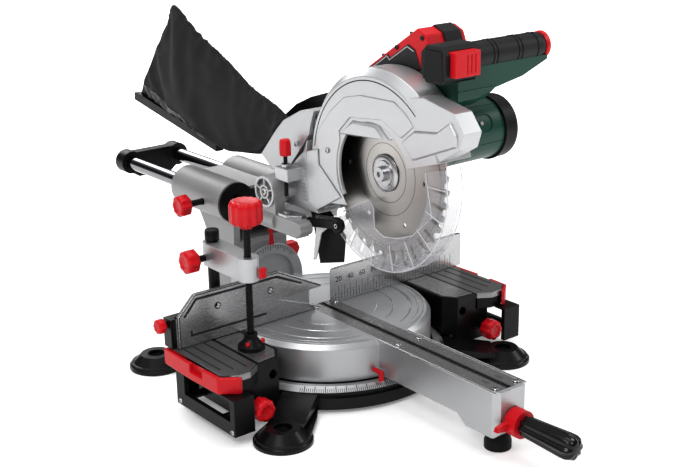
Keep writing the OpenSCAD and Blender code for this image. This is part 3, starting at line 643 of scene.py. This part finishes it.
def bag_surface(row, k, out):
    """The point of the finished bag at a row and ring step, pushed out along the normal, in millimetres."""
    vertex = bag_mesh.vertices[row * BAG_RING + k % BAG_RING]
    return (vertex.co + vertex.normal * out * MM) / MM


half_ring = BAG_RING // 2
# piping along the top seam, and two rows of stitches beside it
bm = bmesh.new()
pipe(bm, [bag_surface(i, half_ring, 0.4) for i in range(2, BAG_ROWS - 1)], 0.9, n=8)
for side in (-2, 2):
    for i in range(4, BAG_ROWS - 3):
        a, b = bag_surface(i, half_ring + side, 0.3), bag_surface(i + 1, half_ring + side, 0.3)
        pipe(bm, [a, a.lerp(b, 0.55)], 0.35, n=6)
finish_piece("bag_top_seam", bm, "head", "ink")
# hem band round the closed bottom, and the drawn mouth band
bm = bmesh.new()
for rows, ring in ((range(32, BAG_ROWS - 1), [k % BAG_RING for k in range(-9, 10)]),
                   (range(0, 4), list(range(BAG_RING)) + [0])):
    grid = [[bm.verts.new(bag_surface(i, k, 0.55)) for k in ring] for i in rows]
    for a, b in zip(grid, grid[1:]):
        for k in range(len(ring) - 1):
            bm.faces.new((a[k], a[k + 1], b[k + 1], b[k]))
bmesh.ops.remove_doubles(bm, verts=bm.verts, dist=0.001)
bmesh.ops.recalc_face_normals(bm, faces=bm.faces)
bmesh.ops.solidify(bm, geom=list(bm.faces), thickness=-0.6)
finish_piece("bag_hems", bm, "head", "black", smooth=60)

# -------------------- fence: scale, slot inlays
bm = bmesh.new()
TICK_HALF, TICK_FOOT, TEN_TOP, FIVE_TOP = 0.28, 82.5, 102, 95
for x in range(15, 221, 5):
    brick(bm, (x - TICK_HALF, 3.9, TICK_FOOT), (x + TICK_HALF, 4.2, TEN_TOP if x % 10 == 0 else FIVE_TOP))
finish_piece("fence_ticks", bm, "base", "ink", smooth=30)


def numbers(name, values, size, spots, turn, body, material):
    """Generic scale numbers as thin raised figures."""
    made = []
    for value, spot in zip(values, spots):
        curve = bpy.data.curves.new(name, "FONT")
        curve.body, curve.size, curve.extrude = str(value), size * MM, 0.12 * MM
        curve.align_x = "CENTER"
        curve.resolution_u = 3
        text = bpy.data.objects.new(name, curve)
        SCENE.collection.objects.link(text)
        text.matrix_world = Matrix.Translation(Vector(spot) * MM) @ turn
        bpy.context.view_layer.update()
        mesh = bpy.data.meshes.new_from_object(text.evaluated_get(bpy.context.evaluated_depsgraph_get()))
        mesh.transform(text.matrix_world)
        bpy.data.objects.remove(text)
        made.append(mesh)
    bm = bmesh.new()
    for mesh in made:
        bm.from_mesh(mesh)
        bpy.data.meshes.remove(mesh)
    mesh = bpy.data.meshes.new(name)
    bm.to_mesh(mesh)
    bm.free()
    return place(name, mesh, body, material, 30)


steps = list(range(20, 201, 20))
numbers("fence_numbers", steps, 10.5, [(x, 3.95, 108.5) for x in steps], Matrix.Rotation(math.pi / 2, 4, "X"),
        "base", "ink")
# painted shade: dark rings round the screw recesses of the sliding fence
bm = bmesh.new()
for y, z in ((-168, 123), (-89, 123)):
    plate(bm, circle(y, z, 4.6, 28), "y", 3.85, 4.1, holes=[circle(y, z, 3.4, 28)])
finish_piece("fence_recess_shade", bm, "sliding_fence", "ink")

# -------------------- mitre scale on the ring's cone
SCALE_R, SCALE_Z = 150.3, 26.3       # the foot of the scale's ticks
bm = bmesh.new()
for degree in range(-52, 53):
    a = math.radians(degree - 90)
    long = 1.0 if degree % 5 == 0 else 0.62
    out, up = Vector((math.cos(a), math.sin(a), 0)), Vector((0, 0, 1))
    side = Vector((-math.sin(a), math.cos(a), 0)) * (0.32 if degree % 5 else 0.5)
    low = out * SCALE_R + up * SCALE_Z
    high = out * (SCALE_R - 6.2 * long) + up * (SCALE_Z + 5.2 * long)
    lift = (out * 0.65 + up * 0.76) * 0.18
    quad = [low - side + lift, low + side + lift, high + side + lift, high - side + lift]
    slab(bm, [p - lift * 4 for p in quad], quad)
finish_piece("mitre_ticks", bm, "base", "ink", smooth=30)

# -------------------- upper guard layers
window = circle(*BLADE_AXIS, 67.5, 14, 27, -44)
face_outline = [(-24, 231), (-12, 266), (-11, 307), (-18, 325), (-41, 351), (-66, 371), (-96, 378),
                (-157, 380), (-177, 369), (-190, 356), (-170, 340), (-136, 355), (-78, 348.5),
                (-56, 328)] + window
plate_piece("guard_face", "head", "satin", face_outline, "x", -23.3, -21.5, bevel=0.7)
bm = bmesh.new()
plate(bm, [(-53, 319), (-58, 326), (-79, 346), (-134, 352.5), (-165, 338), (-143, 333), (-60, 327)], "x",
      -21.2, -18.5)
ledge_out = [(-56, 324), (-82, 347), (-129, 349), (-149, 333)]
ledge_in = [(-61, 327.2), (-84.5, 343.5), (-125, 345), (-141, 333.2)]
outer = [bm.verts.new((-21.0, y, z)) for y, z in ledge_out]
inner = [bm.verts.new((-25.0, y, z)) for y, z in ledge_in]
deep = [bm.verts.new((-18.5, y, z)) for y, z in ledge_out]
bm.faces.new(inner)
bm.faces.new(deep[::-1])
for i in range(4):
    j = (i + 1) % 4
    bm.faces.new((outer[i], outer[j], inner[j], inner[i]))
    bm.faces.new((deep[i], deep[j], outer[j], outer[i]))
finish_piece("guard_ledge", bm, "head", "satin", bevel=0.8)
# slanted cheek of the snout and its nose facets
cheek = [(-171, 336), (-192, 353), (-229, 358), (-251, 373), (-262, 359), (-262, 346), (-190, 317)]
cheek_top = [(-173, 336), (-193, 351.5), (-229.5, 356.5), (-250.5, 371), (-260.4, 358.5), (-260.4, 347.2),
             (-190.2, 319)]
bm = bmesh.new()
slab(bm, [(-21.5, *p) for p in cheek], [(-24.6, *p) for p in cheek_top])
finish_piece("snout_cheek", bm, "head", "satin", bevel=0.8)
# painted shade: a dark strip in the groove between the rounded rim and the flat face
plate_piece("guard_groove_shade", "head", "charcoal",
            ring_sector(*BLADE_AXIS, 111.8, 113.2, 8, 132, 44), "x", -22.12, -21.8)
# work light lenses under the nose
bm = bmesh.new()
SNOUT_SLOPE = -29 / 72       # the snout's underside rises towards its nose
for y in (-240, -248, -256):
    z = 317 + (y + 190) * SNOUT_SLOPE
    pipe(bm, [(-1, y - 0.5, z + 1), (-1, y + 0.6, z - 1.7)], 2.7, n=20)
finish_piece("lamp_lenses", bm, "head", "lamp")

# -------------------- head arm: raised panel, ladder of small ribs, screws
plate_piece("arm_panel", "head", "satin",
            [(6, 292), (-16, 299), (-17, 279), (-60, 246), (-12, 219), (4, 225), (8, 261)],
            "x", -25.2, -23.6, bevel=0.9)
bm = bmesh.new()
for i in range(9):
    y, z = 14 - 1.1 * i, 262 - 4.4 * i
    brick(bm, (-25.2, y, z), (-23.5, y + 11, z + 2.0))
brick(bm, (-24.6, 2, 221), (-23.6, 27, 268))
finish_piece("arm_ladder", bm, "head", "alloy", bevel=0.35)
bm = bmesh.new()
for y, z in ((30, 296), (-34, 300)):
    screw_head(bm, y, z, -23.9, "x", 3.4, up=-1)
finish_piece("arm_screws", bm, "head", "chrome")

# -------------------- blade: washer and printed rings
bm = bmesh.new()
lathe(bm, [(23, -2.0), (23, -3.2), (20.5, -4.6), (15, -5.4), (14, -5.0), (11.5, -5.0)], BLADE_AXIS, "x", n=64)
finish_piece("blade_washer", bm, "arbor", "zinc")
bm = bmesh.new()
for r in (36, 52, 96):
    plate(bm, circle(*BLADE_AXIS, r + 0.25, 96), "x", -1.32, -1.15,
          holes=[circle(*BLADE_AXIS, r - 0.25, 96)])
finish_piece("blade_rings", bm, "arbor", "charcoal")

# -------------------- lower guard: clear window, rims and ribs in a lighter copy of the clear finish, a painted highlight
lip = [(-50, 224), (-76, 238), (-101, 250), (-107, 241), (-109, 216), (-126, 209), (-150, 213), (-177, 223),
       (-211, 253), (-199, 303)]
plate_piece("guard_window", "guard", "clear",
            lip + circle(*BLADE_AXIS, 84.6, 48, 166, 318), "x", -12.0, -10.4)
bm = bmesh.new()
RIM_R, RIB_R = 118.4, 0.8


def on_guard(x, radius, degrees):
    """A point of the lower guard at a radius and an angle from the blade's axis."""
    c, s = cos_sin(degrees)
    return (x, BLADE_AXIS[0] + radius * c, BLADE_AXIS[1] + radius * s)


for x in (-12.3, 10.3):
    pipe(bm, [on_guard(x, RIM_R, a) for a in range(166, 321, 3)], RIB_R, n=8)
for a in range(178, 318, 20):
    pipe(bm, [on_guard(-12.2, 86, a), on_guard(-12.4, 108, a), on_guard(-12.2, 117, a)], RIB_R, n=8)
pipe(bm, [(-12.2, y, z) for y, z in lip], RIB_R, n=8)
finish_piece("guard_rims", bm, "guard", "clear_painted_highlight")

# -------------------- dark sheets inside the upper guard, painted shade, and the link disc
# painted shade: dark sheets on the inner side of the guard's left wall and round the inside of its rim, where
# the guard's inside lies in shade
bm = bmesh.new()
plate(bm, ring_sector(*BLADE_AXIS, 66, 118.5, -18, 152, 60), "x", -17.6, -17.0)
plate(bm, ring_sector(*BLADE_AXIS, 119.8, 121.0, -10, 150, 60), "x", -16.9, 16.5)
finish_piece("guard_inside_shade", bm, "head", "ink")
bm = bmesh.new()
lathe(bm, [(10.5, -30.4), (10.5, -32.6), (9.2, -33.6), (7.4, -33.6), (7.0, -33.0), (4.6, -33.0),
           (4.4, -34.6), (2.2, -35.2), (2.0, -34.0)], LINK_PIN, "x", n=40)
finish_piece("link_disc", bm, "link", "black")
bm = bmesh.new()
screw_head(bm, *LINK_PIN, -33.4, "x", 3.6, up=-1)
finish_piece("link_screw", bm, "link", "chrome")
plate_piece("chip_deflector", "head", "zinc",
            [(8, 206), (-44, 214), (-30, 203), (-4, 184), (8, 146), (15, 143), (8, 184)],
            "x", -12.5, -11.3, bevel=0.4)

# -------------------- depth stop: red cap, black threaded rod, lock nut
bm = bmesh.new()
lathe(bm, [(2.5, 230.2), (2.5, 284)], STOP_SCREW, "z", n=24)
thread(bm, STOP_SCREW, "z", 2.5, 231, 283, pitch=2.4, depth=0.42)
finish_piece("depth_rod", bm, "depth_screw", "black", smooth=50)
bm = bmesh.new()
cap = [(7.2, 283.2), (7.9, 284.4), (7.9, 296), (7.4, 302), (5.8, 304)]
lathe(bm, cap, STOP_SCREW, "z", n=48, lobes=6, depth=1.1)
finish_piece("depth_cap", bm, "depth_screw", "red", replaces=("depth_stop_screw",), bevel=0.3)
bm = bmesh.new()
plate(bm, circle(*STOP_SCREW, 6.4, 6), "z", 268.2, 272.6, holes=[circle(*STOP_SCREW, 3.1, 24)])
finish_piece("depth_nut", bm, "depth_screw", "zinc", bevel=0.5)

# -------------------- head bracket: rings, spokes and screw of the boss on its left face
bm = bmesh.new()
for r0, r1 in ((17.2, 20.6), (6.6, 9.4)):
    plate(bm, circle(*PIVOT, r1, 48), "x", -52.6, -50.0, holes=[circle(*PIVOT, r0, 48)])
for a in range(18, 360, 72):
    plate(bm, radial_bar(*PIVOT, a, 9, 17.8, 1.1), "x", -52.2, -50.0)
finish_piece("pivot_spokes", bm, "carriage", "alloy", bevel=0.4)
bm = bmesh.new()
screw_head(bm, *PIVOT, -50.6, "x", 5.4, up=-1)
finish_piece("pivot_screw", bm, "carriage", "steel")

# -------------------- clamp: black threaded spindle, release button, knob
bm = bmesh.new()
lathe(bm, [(4.0, 94.5), (4.0, 236)], SPINDLE, "z", n=28)
thread(bm, SPINDLE, "z", 4.0, 101, 235, pitch=3.4, depth=0.62)
finish_piece("clamp_thread", bm, "screw", "black", smooth=50, replaces=("clamp_spindle",))
bm = bmesh.new()
brick(bm, (-150, -63.5, 171), (-140, -60.4, 184))
finish_piece("clamp_button", bm, "hold_down", "red", bevel=1.0)
bm = bmesh.new()
low, high, radius = 238, 266, 20.0
lathe(bm, [(7, low - 6), (9, low - 1), (radius - 3, low), (radius, low + 3), (radius, high - 5),
           (radius - 1.2, high - 1.5), (radius - 4, high), (radius - 6, high - 0.6), (4.5, high - 0.6)],
      SPINDLE, "z", n=120, lobes=12, depth=1.7)
finish_piece("clamp_knob_fluted", bm, "screw", "red", smooth=50, replaces=("clamp_knob",))

# -------------------- battery: dark label and waist, outline, screws, ribs
plate_piece("battery_label", "pack", "ink",
            [(-62, 401), (-92, 420), (-96, 416), (-128, 436), (-140, 431), (-150, 411), (-118, 392),
             (-66, 366)],
            "x", 23.9, 25.1, bevel=0.3)
bm = bmesh.new()
edge_line = [(-63, 399.5), (-91, 417.5), (-95.5, 413.5), (-127, 433.2), (-138, 429)]
rods(bm, [(23.8, *p) for p in edge_line], 0.45, n=6)
finish_piece("battery_outline", bm, "pack", "light_ink")
bm = bmesh.new()
for y, z in ((-60, 398.5), (-108, 430), (-152, 446)):
    screw_head(bm, y, z, 24.7, "x", 3.0, up=-1)
for x in (34, 74):
    for y, z in ((-74, 414.5), (-124, 446.5)):
        lathe(bm, [(3.2, 0), (3.2, 0.9), (1.5, 1.2)], (0, 0), "z", n=20)
        fresh = [v for v in bm.verts if v.co.length < 4.2]
        tilt = Matrix.Translation((x, y, z)) @ Matrix.Rotation(math.radians(32.3), 4, "X")
        bmesh.ops.transform(bm, matrix=tilt, verts=fresh)
finish_piece("battery_screws", bm, "pack", "ink")
bm = bmesh.new()
along = Vector((0, -95, 60)).normalized()
up = Vector((0, -60, -95)).normalized() * -1
left, right = Vector((30, -48, 396)), Vector((79, -48, 396))
for a in (22, 30, 38):
    corners = [end + along * at for end, at in ((left, a), (right, a), (right, a + 4), (left, a + 4))]
    slab(bm, [c - up * 0.5 for c in corners], [c + up * 1.3 for c in corners])
finish_piece("battery_ribs", bm, "pack", "red", bevel=0.5)
# red shell on the right side of the pack, and a dark belt round it
plate_piece("battery_shell", "pack", "red",
            [(-52, 394), (-145, 452.5), (-155.5, 448), (-166.5, 424), (-66, 362)], "x", 82.5, 85.2, bevel=1.0)
belt = [(-46.6, 397.2), (-144, 457.8), (-160, 451.2), (-171.4, 422.2)]
inner = [(-49.5, 394), (-143.2, 453), (-156.4, 447.6), (-167.6, 423.8)]
plate_piece("battery_waist", "pack", "charcoal", belt + inner[::-1], "x", 50, 77, bevel=0.8)

# -------------------- motor: oval access panel, screw, seams, vents, cap ring
MOTOR_R = 37.0


def on_motor(x, angle, lift):
    """A point that stands off the motor housing's round surface by lift."""
    c, s = cos_sin(angle)
    return Vector((x, MOTOR_AXIS[0] + (MOTOR_R + lift) * c, MOTOR_AXIS[1] + (MOTOR_R + lift) * s))


def rounded(value):
    """Pushes a cosine or sine outwards, so that a circle becomes a rounded rectangle."""
    return math.copysign(abs(value) ** 0.7, value)


bm = bmesh.new()
panel = [on_motor(91 + 17 * rounded(c), 155 + 18 * rounded(s), 0.5) for c, s in circle(0, 0, 1, 48)]
pipe(bm, panel, 0.7, n=8, closed=True)
for angle in (118, 196, 262):
    pipe(bm, [on_motor(x, angle, 0.1) for x in (56, 90, 127)], 0.8, n=8)
finish_piece("motor_seams", bm, "head", "green")
bm = bmesh.new()
for x, angle in ((91, 155), (60, 170), (60, 128)):
    pipe(bm, [on_motor(x, angle, -0.4), on_motor(x, angle, 1.1)], 2.4, n=20)
finish_piece("motor_screws", bm, "head", "steel")
bm = bmesh.new()
for angle in range(-60, 100, 14):
    pipe(bm, [on_motor(x, angle, -0.3) for x in (100, 111, 122)], 1.5, n=8)
finish_piece("motor_vents", bm, "head", "ink")
bm = bmesh.new()
lathe(bm, [(38.2, 126.8), (39.8, 127.6), (39.8, 130.6), (39.2, 131.2)], MOTOR_AXIS, "x", n=72)
lathe(bm, [(38.6, 143.6), (38.9, 144.0), (38.2, 148.2), (33, 151.2), (31.5, 151.2), (31, 150.4), (10, 150.4)],
      MOTOR_AXIS, "x", n=72)
finish_piece("cap_rings", bm, "head", "black")
bm = bmesh.new()
SLOT_PITCH, SLOT_FIELD_R = 7.4, 30
for i in range(-3, 4):
    half = math.sqrt(SLOT_FIELD_R ** 2 - (i * SLOT_PITCH) ** 2)
    y, z = MOTOR_AXIS[0], MOTOR_AXIS[1] + i * SLOT_PITCH
    brick(bm, (150.0, y - half, z - 1.2), (151.6, y + half, z + 1.2))
finish_piece("cap_slots", bm, "head", "ink", bevel=0.4)

# -------------------- handle: grip rings, seam, red end cap, collar trims
bm = bmesh.new()
for x in (78, 84, 118, 124, 150):
    pipe(bm, [(x, *p) for p in circle(*GRIP_AXIS, 16.2, 48)], 0.55, n=8, closed=True)
pipe(bm, [(52, -200, 444.1), (100, -200, 444.2), (156, -200, 444.1)], 0.5, n=8)
finish_piece("grip_rings", bm, "head", "rubber")
bm = bmesh.new()
lathe(bm, [(15.0, 165.0), (16.5, 166.5), (16.5, 170.0), (12.5, 172.0), (0.5, 172.4)], GRIP_AXIS, "x", n=48)
finish_piece("grip_end", bm, "head", "red")
bm = bmesh.new()
for x in (-1, 48):
    plate(bm, [(-217, 408), (-214, 442), (-186, 442), (-183, 408)], "x", x - 1.6, x + 1.6)
finish_piece("collar_trims", bm, "head", "black", bevel=0.9)

# -------------------- base: ridges and flat plates of the feet
FOOT = (180, 142)
bm = bmesh.new()
for sx in (-1, 1):
    for sy in (-1, 1):
        for r, z in ((31.0, 7.4), (24.0, 12.4)):
            pipe(bm, [(*p, z) for p in circle(sx * FOOT[0], sy * FOOT[1], r, 64)], 0.8, n=8, closed=True)
finish_piece("foot_ridges", bm, "base", "cast_black")
bm = bmesh.new()
for sx in (-1, 1):
    for sy in (-1, 1):
        shoe = circle(*FOOT, 32.5, 24, -52, 128) + [(122, 131), (106, 112), (124, 82), (148, 90)]
        plate(bm, [(sx * u, sy * v) for u, v in shoe], "z", 3.0, 8.0)
finish_piece("foot_plates", bm, "base", "cast_black", bevel=1.2)

# -------------------- table tops, painted shade in the table grooves and in the fence's slots
def mirrored(points, side):
    return [(side * u, v) for u, v in points]


for label, side in (("left", -1), ("right", 1)):
    bm = bmesh.new()
    top = mirrored([(137.6, -69.5), (149, -86), (174.5, -88.5), (174.5, 3.2 if side < 0 else 3.0),
                    (139.5, 3.2)], side)
    plate(bm, top, "z", 79.6, 80.22)
    finish_piece("box_top_" + label, bm, "base", "tabletop", bevel=0.15)
    # painted shade: dark strips in the extension plates' grooves, and a dark line along each plate's front
    # edge
    bm = bmesh.new()
    body = "extension_l" if side < 0 else "extension_r"
    for x, y0, y1 in ((191, -88, 2), (207, -84, 2), (220, -76, 2)):
        plate(bm, mirrored([(x - 1.3, y0), (x + 1.3, y0 - 2), (x + 1.3, y1), (x - 1.3, y1)], side), "z",
              79.2, 80.12)
    edge = mirrored([(179.4, -91.5), (196, -102.5), (213.5, -102.5), (231, -90.5)], side)
    rods(bm, [(*p, 79.4) for p in edge], 0.9)
    finish_piece("table_groove_shade_" + label, bm, body, "ink", smooth=30)
    bm = bmesh.new()
    for y, z in ((-4, 18), (-116, 18)):
        screw_head(bm, y, z, side * 231.8, "x", 3.3, up=side)
    finish_piece("frame_dots_" + label, bm, body, "zinc")
# painted shade: dark plates in the sliding fence's two slots, and a dark line along the plate's outline
bm = bmesh.new()
plate(bm, [(-207.6, 92.4), (-96.4, 92.4), (-96.4, 94.6), (-205.4, 94.6), (-205.4, 99.6), (-207.6, 99.6)],
      "y", 4.05, 5.8)
plate(bm, [(-213.6, 118.4), (-197, 136.4), (-79.2, 136.4), (-40.4, 119.6), (-40.4, 121.6), (-78, 139.4),
           (-199, 139.4), (-216.4, 120)], "y", 4.05, 5.8)
rim = [(-222.6, 81.6), (-222.6, 120.4), (-199.4, 143.6), (-76.5, 143.6), (-11.4, 111.0)]
rods(bm, [(x, 4.3, z) for x, z in rim], 0.75)
finish_piece("fence_slot_shade", bm, "sliding_fence", "ink", smooth=30)

# -------------------- turntable: screws, slot edges, polished ridges
bm = bmesh.new()
for x in (-16, 16):
    for y, r in ((-322, 4.3), (-158, 3.9), (6, 3.9)):
        screw_head(bm, x, y, 79.7, "z", r, up=1)
finish_piece("arm_screws_top", bm, "table", "chrome", replaces=("insert_screws",))
bm = bmesh.new()
for x in (-3.9, -2.6, 2.6, 3.9):
    brick(bm, (x - 0.3, -327.5, 79.6), (x + 0.3, 16.5, 80.12))
for x in (-10.5, 10.5):
    for i in range(5):
        brick(bm, (x - 2.4, -305 + i * 2.2, 79.8), (x + 2.4, -304.3 + i * 2.2, 80.1))
finish_piece("slot_edges", bm, "table", "ink", smooth=30)
bm = bmesh.new()
for r in (62, 84, 106, 117):
    for a0, a1 in ((-168, -103), (-77, -12)):
        arc = [(x, y, 79.15) for x, y in circle(0, 0, r, 40, a0, a1) if abs(x) > 27 and y < 2]
        pipe(bm, arc, 1.1, n=8)
finish_piece("drum_ridges", bm, "table", "polished")
bm = bmesh.new()
pipe(bm, [(-24.2, -128, 80.0), (-24.2, -331, 80.0), (24.2, -331, 80.0), (24.2, -128, 80.0)], 1.1, n=8)
finish_piece("arm_rim", bm, "table", "polished")

# -------------------- grip with flutes that swell towards its end
bm = bmesh.new()
grip = [(12.4, -354.4), (12.6, -358), (13.2, -372), (14.4, -396), (15.4, -414), (15.2, -421),
        (13.4, -426.5), (9.6, -429.3), (4.6, -429.8)]
lathe(bm, grip, (0, 42), "y", n=112, lobes=8, depth=2.3)
finish_piece("grip_fluted", bm, "grip_lock", "gloss", smooth=60)
bm = bmesh.new()
lathe(bm, [(5.2, -354.3), (5.2, -336)], (0, 42), "y", n=32)
finish_piece("grip_shaft", bm, "grip_lock", "steel", replaces=("mitre_grip",))

# -------------------- knobs: soft lobes with a moulded ring on the face
for node, body, centre, axis, stem, face, radius in (
        ("fence_knob", "fence_lock", (19, 110), "x", -233.4, -245.8, 9.4),
        ("extension_knob_left", "ext_lock_l", (-187, 32), "y", -100.4, -121.8, 13.8),
        ("extension_knob_right", "ext_lock_r", (187, 32), "y", -100.4, -121.8, 13.8),
        ("clamp_post_knob", "post_lock", (28, 178), "x", -178.6, -197.8, 14.8),
        ("rail_lock_knob", "rail_lock", (188, 194), "x", -88.6, -107.8, 14.8)):
    d = 1 if face > stem else -1
    bm = bmesh.new()
    lathe(bm, [(radius * 0.55, stem + d * 0.5), (radius * 0.8, stem + d * 2), (radius, stem + d * 4.5),
               (radius, face - d * 3.4),
               (radius * 0.93, face - d * 1.1), (radius * 0.8, face), (radius * 0.55, face),
               (radius * 0.5, face - d * 0.7),
               (2.0, face - d * 0.7)], centre, axis, n=96, lobes=8, depth=radius * 0.09)
    finish_piece(node + "_lobes", bm, body, "red", smooth=55, replaces=(node,))
    bm = bmesh.new()
    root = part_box(node)[1 if d < 0 else 0][{"x": 0, "y": 1}[axis]] / MM
    lathe(bm, [(radius * 0.26, root), (radius * 0.30, stem - d * 3), (radius * 0.5, stem + d * 0.6)],
          centre, axis, n=32)
    finish_piece(node + "_stem", bm, body, "black")

# -------------------- clamp post cap, pad dots
bm = bmesh.new()
lathe(bm, [(7.2, 198.4), (9.0, 199.6), (9.0, 210), (7.4, 212.3), (3.0, 212.6)], CLAMP_POST, "z", n=40)
finish_piece("post_cap", bm, "hold_down", "black")
bm = bmesh.new()
for dx in (-11, 11):
    lathe(bm, [(2.6, 88.5), (2.4, 92.2), (1.2, 92.8)], (SPINDLE[0] + dx, -57), "z", n=20)
finish_piece("pad_dots", bm, "pad", "red")

# -------------------- bracket: bevel pointer, front rings of the rail tubes
plate_piece("bevel_pointer", "tilt", "red",
            [(-4, 133), (4, 133), (2.4, 150), (6, 156), (-6, 156), (-2.4, 150)], "y", 124.6, 126.6, bevel=0.5)
bm = bmesh.new()
for x in (-40, 40):
    plate(bm, circle(x, 196, 27.6, 56), "y", 145.6, 147.4, holes=[circle(x, 196, 11.6, 40)])
finish_piece("tube_faces", bm, "tilt", "black", bevel=0.6)
bm = bmesh.new()
for degree in range(-50, 51, 5):
    foot = 44 if degree % 15 == 0 else 47
    plate(bm, radial_bar(0, 80, 90 + degree, foot, 51.5, 0.3), "y", 127.7, 128.2)
finish_piece("bevel_ticks", bm, "tilt", "ink", smooth=30)
